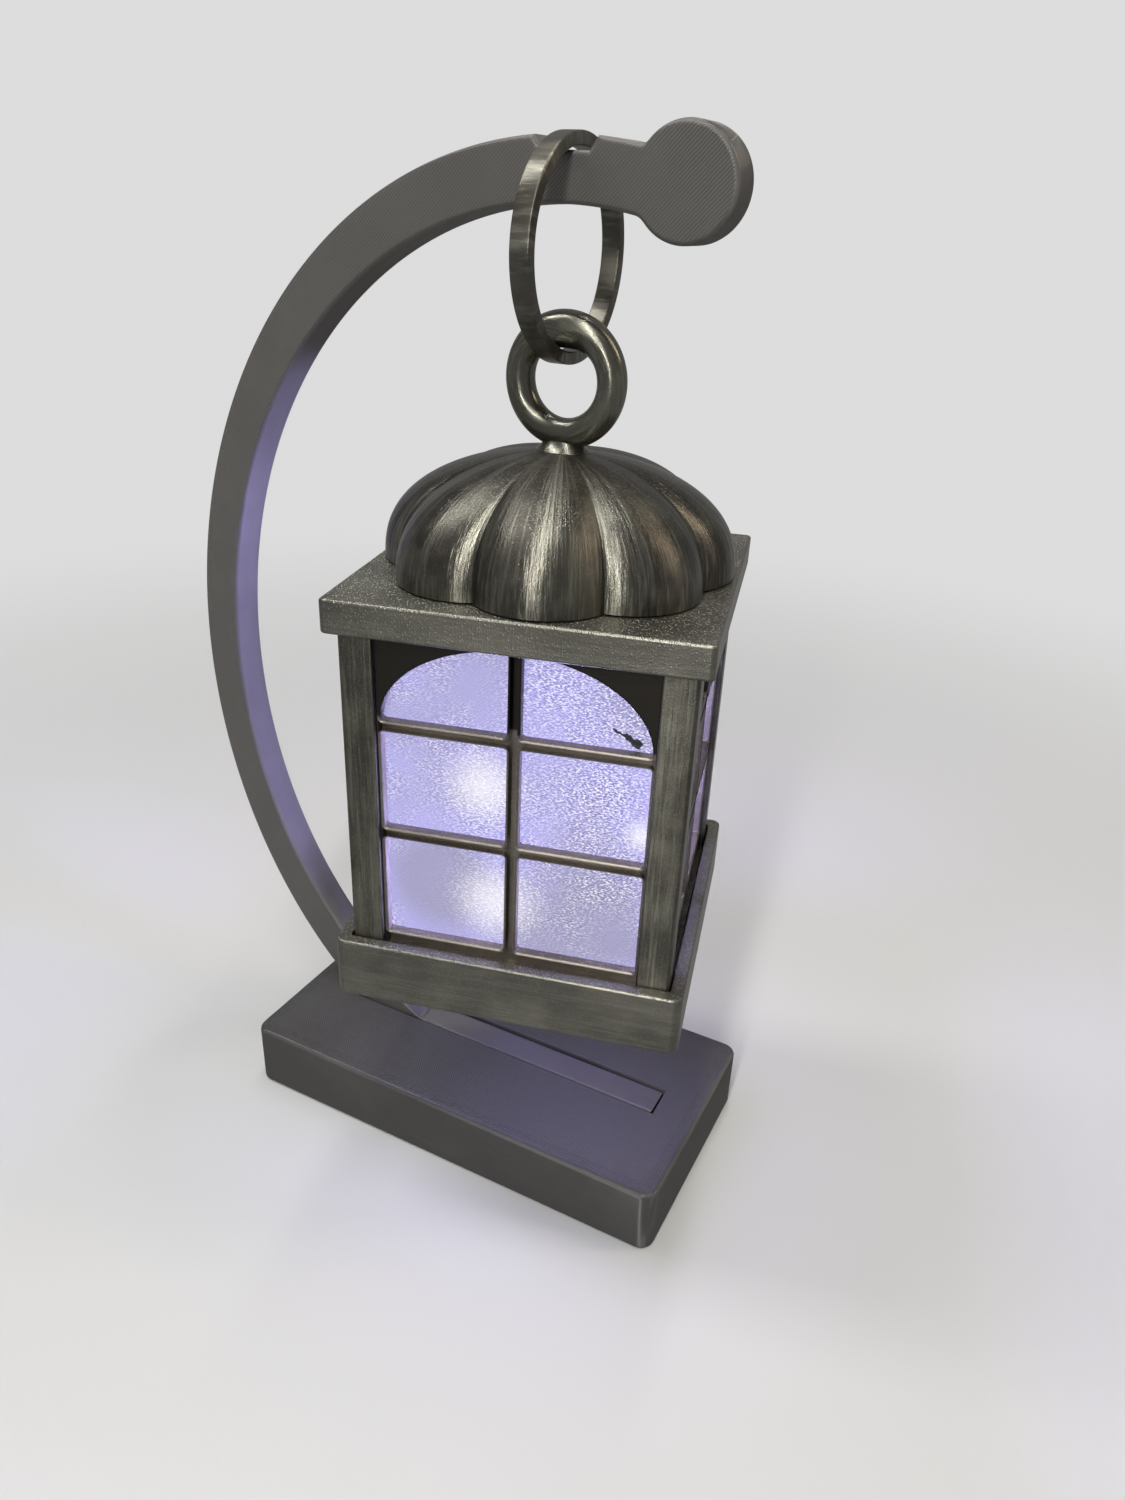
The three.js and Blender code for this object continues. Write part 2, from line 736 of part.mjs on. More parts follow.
// Flame cap: a hollow drop over the neck, open underneath
function flameCap() {
  const bottom = lightHeight - 0.8 + seat;
  const steps = 12;
  const radiusAt = (share, shrink) => {
    const belly = Math.cos(Math.PI / 2 * Math.max(0, (share - 0.2) / 0.8)) ** 0.9;
    return Math.max(0, flameRadius * belly * (share < 0.2 ? 0.93 + 0.35 * share : 1) - shrink);
  };
  const outer = Array.from({ length: steps + 1 }, (_, i) => {
    const share = i / steps;
    return [i < steps ? radiusAt(share, 0) : 0, bottom + flameHeight * share];
  });
  const inner = outer.slice(0, -2).map(([r, z], i) => [radiusAt(i / steps, flameWall), z]).reverse();
  return turned([...outer, [0, bottom + flameHeight * (steps - 1.6) / steps], ...inner, outer[0]])
    .translate([0, 0, lightBottom]);
}

// Switch: a knob in the plate's slot, carried by a slide above the plate
function switchSlider() {
  const slideBottom = bottomPlate + seat;
  return block(switchKnobWidth, switchKnob, -switchProud, slideBottom + switchSlide, switchX)
    .add(block(switchKnobWidth + 1.2, switchKnob + 1.6, slideBottom, slideBottom + switchSlide, switchX))
    .translate([0, 0, lightBottom]);
}

const lantern = new THREE.Group();
addPiece(lantern, 'stand_base', standBase(), standPlastic);
addPiece(lantern, 'stand_arm', standArm(), standPlastic);

const hanging = new THREE.Group();
hanging.position.x = hangX;
lantern.add(hanging);
addPiece(hanging, 'hanging_ring', hangingRing(), silkPlastic);
addPiece(hanging, 'eye_ring', eyeRing(), silkPlastic);
addPiece(hanging, 'dome_roof', domeRoof(), silkPlastic);
addPiece(hanging, 'stem_washer', stemWasher(), silkPlastic);

const housing = new THREE.Group();
housing.rotation.z = rad(bodyTurn);
hanging.add(housing);
addPiece(housing, 'lid_plate', lidPlate(), silkPlastic);
addPiece(housing, 'body_cage', bodyCage(), silkPlastic);
['front', 'right', 'rear', 'left'].forEach((name, i) => {
  const side = new THREE.Group();
  side.rotation.z = Math.PI / 2 * i;
  housing.add(side);
  addPiece(side, `window_frame_${name}`, windowFrame(), silkPlastic);
  addPiece(side, `diffuser_pane_${name}`, diffuserPane(), panePlastic);
});
addPiece(housing, 'base_tray', baseTray(), silkPlastic);

addPiece(housing, 'light_case', lightCase(), whitePlastic);
addPiece(housing, 'light_plate', lightPlate(), whitePlastic);
addPiece(housing, 'flame_cap', flameCap(), flamePlastic);
addPiece(housing, 'led_bulb', ledBulb(), ledPlastic);
addPiece(housing, 'circuit_board', circuitBoard(), boardGreen);
addPiece(housing, 'battery_cell', batteryCell(), metal);
addPiece(housing, 'contact_spring', contactSpring(), metal);
addPiece(housing, 'contact_plate', contactPlate(), metal);
addPiece(housing, 'battery_door', batteryDoor(), whitePlastic);
addPiece(housing, 'switch_slider', switchSlider(), whitePlastic);

export default lantern;
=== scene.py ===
"""Mini lantern on a curved stand: the pieces that show, their finishes and a plain studio.

All lengths are in metres, +X runs along the base towards the knob, -Y faces the viewer, +Z is up.
"""

import json

import bpy
import numpy as np
from mathutils import Matrix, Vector
from mathutils.geometry import tessellate_polygon

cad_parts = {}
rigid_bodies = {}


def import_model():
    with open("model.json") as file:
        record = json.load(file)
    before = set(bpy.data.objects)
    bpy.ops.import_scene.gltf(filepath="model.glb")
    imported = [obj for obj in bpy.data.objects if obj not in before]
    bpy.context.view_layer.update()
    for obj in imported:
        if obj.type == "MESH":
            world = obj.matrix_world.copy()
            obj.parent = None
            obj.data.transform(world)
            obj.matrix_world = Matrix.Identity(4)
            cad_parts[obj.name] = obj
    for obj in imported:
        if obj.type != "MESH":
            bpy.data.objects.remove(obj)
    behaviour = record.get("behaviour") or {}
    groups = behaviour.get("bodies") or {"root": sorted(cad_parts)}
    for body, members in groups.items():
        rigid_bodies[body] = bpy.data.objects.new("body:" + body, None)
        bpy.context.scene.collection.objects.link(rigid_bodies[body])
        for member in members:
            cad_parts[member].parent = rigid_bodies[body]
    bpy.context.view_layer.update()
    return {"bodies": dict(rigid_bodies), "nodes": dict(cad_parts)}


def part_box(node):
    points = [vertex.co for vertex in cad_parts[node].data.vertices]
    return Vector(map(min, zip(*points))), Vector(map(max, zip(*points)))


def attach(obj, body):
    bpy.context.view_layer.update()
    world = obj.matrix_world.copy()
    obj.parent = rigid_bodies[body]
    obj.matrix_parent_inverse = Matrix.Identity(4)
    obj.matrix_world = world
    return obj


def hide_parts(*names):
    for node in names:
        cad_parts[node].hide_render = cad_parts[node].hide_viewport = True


bl_info = {
    "name": "Mini lantern",
    "version": (1, 0, 0),
    "blender": (4, 5, 0),
    "location": "3D View > Sidebar > Mini lantern",
    "description": "Builds a printed window lantern that hangs from a curved stand",
    "category": "Add Mesh",
}

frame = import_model()


def low(node):
    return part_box(node)[0].z


def high(node):
    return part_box(node)[1].z


hang_x = (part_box("hanging_ring")[0].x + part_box("hanging_ring")[1].x) / 2
ring_z = (low("hanging_ring") + high("hanging_ring")) / 2


# Small sizes that a user has no need to change

PLAY = 0.0003  # gap between pieces that are pushed together
EASED = 0.0005  # radius of the edges of the lid and the tray
SLOT_FLOOR = 0.002
SLOT_END_PLAY = 0.0005
SLOT_EDGE = 0.00025
BORDER = 0.0032  # width of the strip of border lines on the base
FOOT_RECESS = 0.0004
OUTER_UPPER = 0.0992  # half heights of the arm's two ellipses above their middles
INNER_UPPER = 0.0893
OUTER_BOTTOM = -0.0029  # levels at which the two ellipses would close
INNER_BOTTOM = 0.0074
UPPER_FILLET = 0.0012
LOWER_FILLET = 0.003
NOTCH_FLARE = 0.0014
NOTCH_TOP = 0.0002  # drop of the notch's upper corners below the crown
RING_EDGE = 0.00035
FOOT_ALONG = (0.0051, 0.0026)  # half lengths of the eye's foot at the dome and in the wire
FOOT_ACROSS = (0.0041, 0.0017)
FOOT_HEIGHT = 0.0036
FOOT_SUNK = 0.00035
STEM_BORE = 0.0023
LID_CORNER = 0.001
LID_RECESS = 0.0032
POST_CORNER = 0.0007
TOP_RAIL = 0.002
BOTTOM_RAIL = 0.0057
RAIL_INSET = 0.0001
RAIL_CORNER = 0.0002
REBATE = 0.0012
FRAME_EDGE = 0.00045
FRAME_RIM = 0.0001
# Above this height over the springing the frames carry painted shade, for the lid's shadow on the
# spandrels
PAINTED_SHADE_START = 0.0008  # height over the arch's springing from which a frame is dark
PANE_EDGE = 0.0002
STILE = 0.00055
OPENING_CORNER = 0.0007
CRISP = 0.0003  # radius of small inner corners
TRAY_CORNER = 0.0017
POCKET_CORNER = 0.0004
LEDGE = 0.002
LEDGE_WIDTH = 0.0034
COLLAR_WALL = 0.0012
COLLAR_SUNK = 0.0005
CASE_WALL = 0.0012
CASE_TOP = 0.0018
CASE_EDGE = 0.0007
CASE_RIM = (0.0018, 0.0026)  # how far in from the side the rim ends and the dip begins
CASE_DIP = (0.0004, 0.0009, 0.0008)  # the dip's depth at its edge, its lowest ring and the neck
NECK = 0.0054
NECK_FOOT = 0.004
NECK_BORE = 0.0042
NECK_HEIGHT = 0.0014
SLEEVE = 0.0065
SLEEVE_BOTTOM = 0.0103
FLAME_WALL = 0.0009
FLAME_FOOT = 0.2  # share of the flame's height below its widest level
SIDES = ("front", "right", "rear", "left")


# Sizes and colours


def number(name, description, value, **settings):
    return bpy.props.FloatProperty(name=name, description=description, default=value, **settings)


def length(name, description, millimetres):
    return number(name, description, millimetres / 1000, unit="LENGTH", precision=5)


def turn(name, description, degrees):
    return number(name, description, np.radians(degrees), subtype="ANGLE")


def share(name, description, value):
    return number(name, description, value, min=0, subtype="FACTOR")


def power(name, description, watts):
    return number(name, description, watts, min=0, unit="POWER")


def colour(name, description, *value):
    return bpy.props.FloatVectorProperty(
        name=name, description=description, default=value, min=0, subtype="COLOR"
    )


class LanternSizes(bpy.types.PropertyGroup):
    """Sizes of the stand, the rings, the roof, the housing, the tray and the tea light."""

    base_length: length("Base length", "Length of the block along X", 100)
    base_width: length("Base width", "Width of the block", 50)
    base_corner: length("Base corner", "Radius of the block's upright edges", 3)
    base_edge: length("Base edge", "Radius of the block's top and bottom edges", 1.1)
    foot_end: length("Foot end", "Where the foot bar ends along X", 40.3)
    plate: length("Plate", "Thickness of the arm", 7.2)
    plate_edge: length("Plate edge", "Radius of the arm's edges", 0.9)
    crown: length("Crown height", "Height of the arm's highest point", 197)
    reach: length("Arm reach", "Half width of the outer edge's ellipse", 83.69)
    band_side: length("Band at the side", "Width of the arm where it is upright", 8.6)
    band_top: length("Band at the top", "Width of the arm at the crown", 9.5)
    knob_radius: length("Knob radius", "Radius of the knob at the arm's end", 8.29)
    knob_out: length("Knob out", "Distance of the knob from the hang axis", 19.7)
    knob_drop: length("Knob drop", "How far the knob's middle lies below the crown", 6.1)
    notch_depth: length("Notch depth", "Depth of the notch for the ring", 2.2)
    notch_half: length("Notch half width", "Half width of the notch's floor", 4)

    ring_bore: length("Ring bore", "Inner radius of the hanging ring", 14.75)
    ring_wall: length("Ring wall", "Thickness of the band", 2.04)
    ring_width: length("Ring width", "Width of the band", 3.4)
    eye_radius: length("Eye radius", "Radius to the middle of the wire", 8.55)
    eye_wire: length("Eye wire", "Radius of the wire", 2.5)
    eye_sag: length("Eye sag", "How much thicker the wire is at the top of the hole", 1)

    lobes: bpy.props.IntProperty(name="Lobes", description="Number of lobes", default=8, min=3)
    lobe_radius: length("Lobe radius", "Distance from the axis to a lobe's middle", 31.3)
    crease_radius: length("Crease radius", "Distance from the axis to a crease", 27.7)
    rise: share("Rise", "Power of the height in the dome's curve", 2.43)
    fall: share("Fall", "Power of the radius in the dome's curve", 1.97)
    dome_turn: turn("Dome turn", "Angle of the first lobe's middle", 20)

    body_turn: turn("Body turn", "How far the housing is turned from the plane of the arm", 14.2)
    lid_size: length("Lid size", "Side of the square lid", 64)
    cage_size: length("Cage size", "Side of the cage across two posts", 59.8)
    post_size: length("Post size", "Side of a corner post", 5.9)
    frame_inset: length("Frame inset", "How far a window frame stands behind the posts", 1)
    frame_depth: length("Frame depth", "Thickness of a window frame", 1.9)
    bar: length("Bar", "Height of a frame's crossbars", 2.1)
    mullion: length("Mullion", "Width of the upright bar in the middle", 2.3)
    sill: length("Sill", "Height of a frame below its lowest openings", 3.3)
    lower_row: length("Lower row", "Height of the lower openings", 20.3)
    middle_row: length("Middle row", "Height of the middle openings", 18.9)
    arch_rise: length("Arch rise", "Height of the arch over its springing", 15)
    pane: length("Pane", "Thickness of a pane", 1.5)

    tray_size: length("Tray size", "Side of the square skirt", 65.4)
    tray_floor: length("Tray floor", "Thickness of the tray's floor", 2)
    finger_hole: length("Finger hole", "Radius of the hole in the floor", 15)
    collar_height: length("Collar height", "Height of the collar over the floor", 2.5)
    case_radius: length("Case radius", "Radius of the tea light", 18.5)
    case_height: length("Case height", "Height of the tea light to its rim", 15.5)
    flame_radius: length("Flame radius", "Radius of the flame", 6.9)


class FinishSettings(bpy.types.PropertyGroup):
    """Colours of the plastics and of the light."""

    base: colour("Base", "Satin plastic of the base", 0.088, 0.085, 0.082)
    # The arm is the base's plastic, painted lighter for the light that falls on its upright faces
    arm: colour("Arm", "Satin plastic of the arm", 0.117, 0.111, 0.104)
    silk: colour("Silk", "Sheen of the silk plastic", 0.2, 0.197, 0.16)
    silk_dark: colour("Silk, dark", "Sheen of the silk plastic between its lines", 0.062, 0.055, 0.047)
    silk_pale: colour("Silk, pale", "Sheen of the silk plastic where it is rubbed", 0.21, 0.204, 0.172)
    # The frames' silk is lighter than the other silk, partly for its print and partly as painted glare
    # and glints from the lit panes
    bars: colour("Bars", "Silk plastic of the window frames", 0.29, 0.262, 0.228)
    # The glow colours are painted light: the panes glow where the tea light shines through them
    glow: colour("Glow", "Light of the panes", 0.48, 0.455, 0.92)
    glow_dim: colour("Glow, dim", "Light of the panes away from the lamp", 0.31, 0.30, 0.47)
    glow_dark: colour("Glow, dark", "Light between the grains of the panes", 0.13, 0.12, 0.25)
    glow_white: colour("Glow, white", "Light of the brightest grains of the panes", 1.0, 0.99, 0.97)
    white: colour("White", "Plastic of the tea light", 0.78, 0.76, 0.70)
    flame: colour("Flame", "Light of the flame", 0.95, 0.86, 0.80)
    metal: colour("Metal", "Plated steel of the cell and the contacts", 0.58, 0.59, 0.60)
    board: colour("Board", "Solder mask of the circuit board", 0.03, 0.15, 0.06)


class StudioSettings(bpy.types.PropertyGroup):
    """Floor, lamps and surroundings."""

    floor: colour("Floor", "Colour of the floor", 0.62, 0.62, 0.615)
    surround: share("Surround", "Level of the pale surroundings", 0.72)
    reflected: share("Reflected", "Level that the surroundings have in reflections", 0.29)
    ambient: share("Ambient", "Level of the light from all round", 0.24)
    strip_power: power("Strip power", "Power of the tall narrow lamp in front", 3.8)
    top_power: power("Top power", "Power of the narrow lamp overhead", 0.9)
    side_power: power("Side power", "Power of the lamp high on the left", 1.2)
    rim_power: power("Rim power", "Power of the lamp behind", 0.7)
    flame_power: power("Flame power", "Power of the lamp in the flame", 0.8)
    spill_power: power("Spill power", "Power of the light that leaves the tray's underside", 0.02)
    flame_tint: colour("Flame tint", "Colour of the lamp in the flame", 0.5, 0.46, 1.0)


# Shapes


def turns(steps):
    """Angles of a full circle in equal steps."""
    return 2 * np.pi * np.arange(steps) / steps


def side_by_side(*parts):
    """Arrays, stretched to one shape, as the last axis of one array."""
    return np.stack(np.broadcast_arrays(*parts), -1)


def unit(angle):
    return side_by_side(np.cos(angle), np.sin(angle))


def rectangle(left, bottom, right, top):
    """Four corners, anticlockwise."""
    return np.array([[left, bottom], [right, bottom], [right, top], [left, top]])


def inset(loop, distance):
    """Each corner moves by distance to the left of the way round, along the mitre of its two edges."""
    edge = loop - np.roll(loop, 1, axis=0)
    first = side_by_side(-edge[:, 1], edge[:, 0]) / np.linalg.norm(edge, axis=1)[:, None]
    second = np.roll(first, -1, axis=0)
    mitre = (first + second) / (1 + (first * second).sum(1))[:, None]
    return loop + distance * mitre


def softened(loop, radius, steps=4):
    """Each corner of a closed loop becomes a quadratic curve between two points, radius away from it."""
    ends = []
    for way in (1, -1):
        edge = np.roll(loop, way, axis=0) - loop
        reach = np.minimum(radius / np.linalg.norm(edge, axis=1), 0.45)[:, None]
        ends.append((loop + edge * reach)[:, None])
    t = np.linspace(0, 1, steps + 1)[None, :, None]
    curve = (1 - t) ** 2 * ends[0] + 2 * t * (1 - t) * loop[:, None] + t**2 * ends[1]
    return curve.reshape(-1, 2)


def rounded_rectangle(width, depth, radius, steps=6):
    """Four quarter circles, anticlockwise, joined by straight sides."""
    quarter = np.arange(4)[:, None] * np.pi / 2
    around = quarter + np.linspace(0, np.pi / 2, steps + 1)
    corner_x = np.sign(np.cos(quarter + np.pi / 4)) * (width / 2 - radius)
    corner_y = np.sign(np.sin(quarter + np.pi / 4)) * (depth / 2 - radius)
    x = corner_x + radius * np.cos(around)
    y = corner_y + radius * np.sin(around)
    return side_by_side(x, y).reshape(-1, 2)


def rounded_square(side, radius, steps=6):
    return rounded_rectangle(side, side, radius, steps)


def circle(radius, steps):
    return radius * unit(turns(steps))


def wall_levels(bottom, top, low_edge, high_edge, steps=5):
    """Pairs of inset and height up a wall, with a quarter circle at each end that has an edge radius."""
    around = np.linspace(0, np.pi / 2, steps + 1)
    pairs = []
    for radius, end, side in ((low_edge, bottom, 1), (high_edge, top, -1)):
        if radius > 0:
            rows = np.c_[radius * (1 - np.cos(around)), end + side * radius * (1 - np.sin(around))]
            pairs.append(rows[::-side])
        else:
            pairs.append(np.array([[0.0, end]]))
    return np.concatenate(pairs)


class Skin:
    """The points and faces of one piece, put together from grids and flat fills."""

    def __init__(self):
        self.points = np.zeros((0, 3))
        self.faces = []

    def grid(self, points, closed_rows=False):
        """Quads between the rows of a grid, round its columns. Returns the points' numbers."""
        rows, columns = points.shape[:2]
        numbers = len(self.points) + np.arange(rows * columns).reshape(rows, columns)
        self.points = np.concatenate([self.points, points.reshape(-1, 3)])
        i = np.arange(rows if closed_rows else rows - 1)[:, None]
        j = np.arange(columns)[None, :]
        next_i, next_j = (i + 1) % rows, (j + 1) % columns
        corners = [numbers[i, j], numbers[i, next_j], numbers[next_i, next_j], numbers[next_i, j]]
        self.faces += side_by_side(*corners).reshape(-1, 4).tolist()
        return numbers

    def walls(self, loop, levels):
        """A loop carried up through pairs of inset and height, with the material on its left."""
        return self.grid(np.array([
            np.c_[inset(loop, step), np.full(len(loop), height)] for step, height in levels
        ]))

    def fill(self, loops, up):
        """The flat face inside the first loop of point numbers and outside the others."""
        numbers = np.concatenate(loops)
        outlines = [self.points[loop].tolist() for loop in loops]
        triangles = np.array(tessellate_polygon(outlines))
        corners = self.points[numbers[triangles]]
        facing = np.cross(corners[:, 1] - corners[:, 0], corners[:, 2] - corners[:, 0])[:, 2] * up
        triangles[facing < 0] = triangles[facing < 0][:, ::-1]
        self.faces += numbers[triangles].tolist()

    def close(self, rows, *holes):
        """Flat faces over the first and the last row, open where the holes' rows pass through."""
        self.fill([rows[0], *(hole[0] for hole in holes)], -1)
        self.fill([rows[-1], *(hole[-1] for hole in holes)], 1)

    def turned(self, profile, steps, closed_rows=True):
        """A profile of radius and height, anticlockwise, carried round the Z axis."""
        radius, height = profile[:, :1], profile[:, 1:]
        x, y = circle(1, steps).T
        return self.grid(side_by_side(radius * x, radius * y, height), closed_rows)

    def stand_up(self):
        """Plan and thickness become X, Z and -Y, so that the top of the drawing faces the viewer."""
        self.points = self.points[:, [0, 2, 1]] * (1, -1, 1)


def linked(name, data):
    """An object with that data, in the scene."""
    made = bpy.data.objects.new(name, data)
    bpy.context.scene.collection.objects.link(made)
    return made


def make_piece(name, skin, grain, body, node, material, along, weighted=True):
    """A mesh object in the row frame that rides on a body and stands for a node of the frame.

    Each point has its place in the streaks, which is its place divided by their length, and its place in
    the map whose first axis the sheen stretches along.
    """
    if not np.isfinite(skin.points).all():
        raise RuntimeError(f"{name} has a point that isn't a number")
    mesh = bpy.data.meshes.new(name)
    mesh.from_pydata(skin.points.tolist(), [], skin.faces)
    attribute = mesh.attributes.new("grain", "FLOAT_VECTOR", "POINT")
    attribute.data.foreach_set("vector", grain.astype(np.float32).ravel())
    corners = np.zeros(len(mesh.loops), np.int32)
    mesh.loops.foreach_get("vertex_index", corners)
    layer = mesh.uv_layers.new(name="along")
    layer.data.foreach_set("uv", along[corners].astype(np.float32).ravel())
    mesh.shade_smooth()
    mesh.set_sharp_from_angle(angle=np.radians(38))
    mesh.materials.append(material)
    piece = linked(name, mesh)
    if weighted:
        flat = piece.modifiers.new("Flat faces", "WEIGHTED_NORMAL")
        flat.keep_sharp = True
        flat.weight = 90
    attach(piece, body)
    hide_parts(node)
    return piece


# Finishes


class Value:
    """A number, vector or colour that varies over a surface. Sums and products of it make nodes."""

    def __init__(self, socket):
        self.socket = socket

    def __abs__(self):
        return maths("ABSOLUTE", self)

    def __add__(self, other):
        return maths("ADD", self, other)

    def __sub__(self, other):
        return maths("SUBTRACT", self, other)

    def __rsub__(self, other):
        return maths("SUBTRACT", other, self)

    def __mul__(self, other):
        return maths("MULTIPLY", self, other)

    def __truediv__(self, other):
        return maths("DIVIDE", self, other)

    def __rtruediv__(self, other):
        return maths("DIVIDE", other, self)

    __radd__ = __add__


def set_input(socket, value):
    if isinstance(value, Value):
        socket.id_data.links.new(value.socket, socket)
    else:
        socket.default_value = value


def add_node(kind, settings, inputs, beside=None):
    """A shader node, in the tree of one of its inputs or beside another node. Returns its outputs."""
    if beside is None:
        beside = next(value.socket for value in inputs.values() if isinstance(value, Value))
    made = beside.id_data.nodes.new("ShaderNode" + kind)
    for key, value in settings.items():
        setattr(made, key, value)
    for key, value in inputs.items():
        set_input(made.inputs[key], value)
    return made.outputs


def maths(operation, *values):
    return Value(add_node("Math", {"operation": operation}, dict(enumerate(values)))[0])


def vector_maths(operation, *values):
    """The result of a vector operation, which is one number for a dot product or a distance."""
    outputs = add_node("VectorMath", {"operation": operation}, dict(enumerate(values)))
    one_number = operation in ("DOT_PRODUCT", "LENGTH", "DISTANCE")
    return Value(outputs["Value" if one_number else "Vector"])


def dot(vector, axis):
    return vector_maths("DOT_PRODUCT", vector, axis)


def between(value, start, end, low_value=0.0, high_value=1.0):
    """A smooth step from low_value at start to high_value at end."""
    inputs = dict(enumerate((value, start, end, low_value, high_value)))
    return Value(add_node("MapRange", {"interpolation_type": "SMOOTHSTEP"}, inputs)[0])


def mixed(factor, first, second):
    settings = {"data_type": "RGBA", "clamp_factor": True}
    return Value(add_node("Mix", settings, {0: factor, 6: first, 7: second})[2])


def noise(vector, size, detail=2.0, roughness=0.5):
    """A noise whose features are about as large as size."""
    inputs = {"Vector": vector, "Scale": 1 / size, "Detail": detail, "Roughness": roughness}
    return Value(add_node("TexNoise", {}, inputs)[0])


def bumped(height, distance, strength):
    inputs = {"Height": height, "Distance": distance, "Strength": strength}
    return Value(add_node("Bump", {}, inputs)[0])


def grain_of(shader):
    """The place in the streaks that each point of the piece has."""
    return Value(add_node("Attribute", {"attribute_name": "grain"}, {}, shader)["Vector"])


def stretched(shader):
    """The direction of the first axis of the piece's map, along which the sheen stretches."""
    return Value(add_node("Tangent", {"direction_type": "UV_MAP", "uv_map": "along"}, {}, shader)[0])


def is_ray(shader, kind):
    return Value(add_node("LightPath", {}, {}, shader)[f"Is {kind} Ray"])


def rgba(value, level=1.0):
    return (*(level * part for part in value), 1.0)


def streaks(grain, fine, broad):
    """Fine and broad streaks: two noises on coordinates that are short along the streaks."""
    height = noise(grain, fine, 3.0, 0.6) * 0.55 + noise(grain, broad, 3.0, 0.6) * 0.45
    return {"Streaks": between(height, 0.47, 0.66), "Height": height}


def glitter(position, size, chosen):
    """Bright grains: the cells of a cell pattern whose own value is over a threshold."""
    cells = add_node("TexVoronoi", {}, {"Vector": position, "Scale": 1 / size})
    value = Value(add_node("SeparateColor", {}, {0: Value(cells["Color"])})[0])
    core = between(Value(cells["Distance"]), 0.65, 0.15)
    threshold = 1.0 - chosen
    return {"Mask": between(value, threshold, threshold + 0.08) * core, "Height": value * core}


def wear_and_glow_patches(position, size):
    """Broad, soft patches: rubbed or greasy places, and on the panes where grains of the painted glow
    show.
    """
    return {"Mask": between(noise(position, size, 4.0, 0.55), 0.38, 0.66)}


def laid_lines(across, position, pitch, waver):
    """A sine wave across the lines, whose phase wavers with the place."""
    phase = (across + noise(position, 0.004) * waver) / pitch
    return {"Height": maths("SINE", phase * (2 * np.pi)) * 0.5 + 0.5}


# Each pattern with its inputs: a vector where there is no default, and else a number
patterns = {
    "Print streaks": (streaks, {"Grain": None, "Fine": 0.0004, "Broad": 0.002}),
    "Print glitter": (glitter, {"Position": None, "Size": 0.0004, "Share": 0.3}),
    "Handling": (wear_and_glow_patches, {"Position": None, "Size": 0.012}),
    "Laid lines": (laid_lines, {"Across": 0.0, "Position": None, "Pitch": 0.00045, "Waver": 0.00006}),
}
groups = {}


def new_group(name, pattern, inputs):
    """A node group that puts out what the pattern makes of its inputs."""
    tree = bpy.data.node_groups.new(name, "ShaderNodeTree")
    for label, default in inputs.items():
        kind = "NodeSocketVector" if default is None else "NodeSocketFloat"
        socket = tree.interface.new_socket(label, in_out="INPUT", socket_type=kind)
        if default is not None:
            socket.default_value = default
    start = tree.nodes.new("NodeGroupInput")
    results = pattern(*(Value(start.outputs[label]) for label in inputs))
    for label in results:
        tree.interface.new_socket(label, in_out="OUTPUT", socket_type="NodeSocketFloat")
    end = tree.nodes.new("NodeGroupOutput")
    for label, value in results.items():
        set_input(end.inputs[label], value)
    return tree


def placed(name, **inputs):
    """One of the shared patterns, placed in a material with its own values."""
    if name not in groups:
        groups[name] = new_group(name, *patterns[name])
    outputs = add_node("Group", {"node_tree": groups[name]}, inputs)
    return {socket.name: Value(socket) for socket in outputs}


def feed(shader, **inputs):
    """Set the shader's own sockets to values, or join results to them."""
    for key, value in inputs.items():
        set_input(shader.inputs[key.replace("_", " ").title()], value)


def new_finish(name, **inputs):
    """A material, its Principled shader, and the place and the normal on the object."""
    material = bpy.data.materials.new(name)
    material.use_nodes = True
    shader = material.node_tree.nodes["Principled BSDF"]
    feed(shader, **inputs)
    place = add_node("TexCoord", {}, {}, shader)
    return material, shader, Value(place["Object"]), Value(place["Normal"])


def silk_finish(
    name, finish, line, depth, relief, sparkle, gloss, stretch, sheen=None, painted_shade_above=None
):
    """Silk plastic: a dark metallic sheen, stretched across its laid lines, with lines and grains."""
    material, shader, position, normal = new_finish(name, metallic=0.92, anisotropic=stretch)
    lines = placed("Print streaks", Grain=grain_of(shader), Fine=line, Broad=7 * line)
    sparks = placed("Print glitter", Position=position, Size=0.0004, Share=0.5)
    level = between(dot(normal, (0, 0, 1)), 0.6, 0.95, 0.25 * sparkle, sparkle)
    rubbed = placed("Handling", Position=position, Size=0.011)["Mask"]
    full = finish.silk if sheen is None else sheen
    dark = [part * gap / own for part, gap, own in zip(full, finish.silk_dark, finish.silk)]
    gaps = lines["Streaks"] * -depth + depth
    worn = rubbed * 0.25 + sparks["Mask"] * level * 0.9
    tone = mixed(worn, mixed(gaps, rgba(full), rgba(dark)), rgba(full, 1.6))
    # Painted shade: above that height the colour turns darker than the silk's dark lines, for the shadow
    # under the lid
    if painted_shade_above is not None:
        upper = between(dot(position, (0, 0, 1)), painted_shade_above - 0.0003, painted_shade_above + 0.0003)
        tone = mixed(upper, tone, rgba(finish.silk_dark, 0.6))
    height = lines["Height"] * relief + sparks["Height"] * level * 1.3
    feed(
        shader, base_color=tone, roughness=rubbed * 0.04 + lines["Height"] * 0.10 + (gloss - 0.05),
        tangent=stretched(shader), normal=bumped(height, 0.00009, 0.9),
    )
    return material


def border_lines(position, slanted, half_x, half_y, width):
    """Lines along the edges of a block, in a strip that wide, in place of the slanted ones."""
    x, y = abs(dot(position, (1, 0, 0))), abs(dot(position, (0, 1, 0)))
    depth = maths("MINIMUM", half_x - x, half_y - y)
    strip = between(depth, width, width - 0.0002)
    beside = placed("Laid lines", Across=depth, Position=position, Pitch=0.0006)["Height"]
    dashes = between(noise(position, 0.0007, 1.0), 0.42, 0.6, 0.35, 1.0)
    return beside * strip * dashes + slanted * (1.0 - strip)


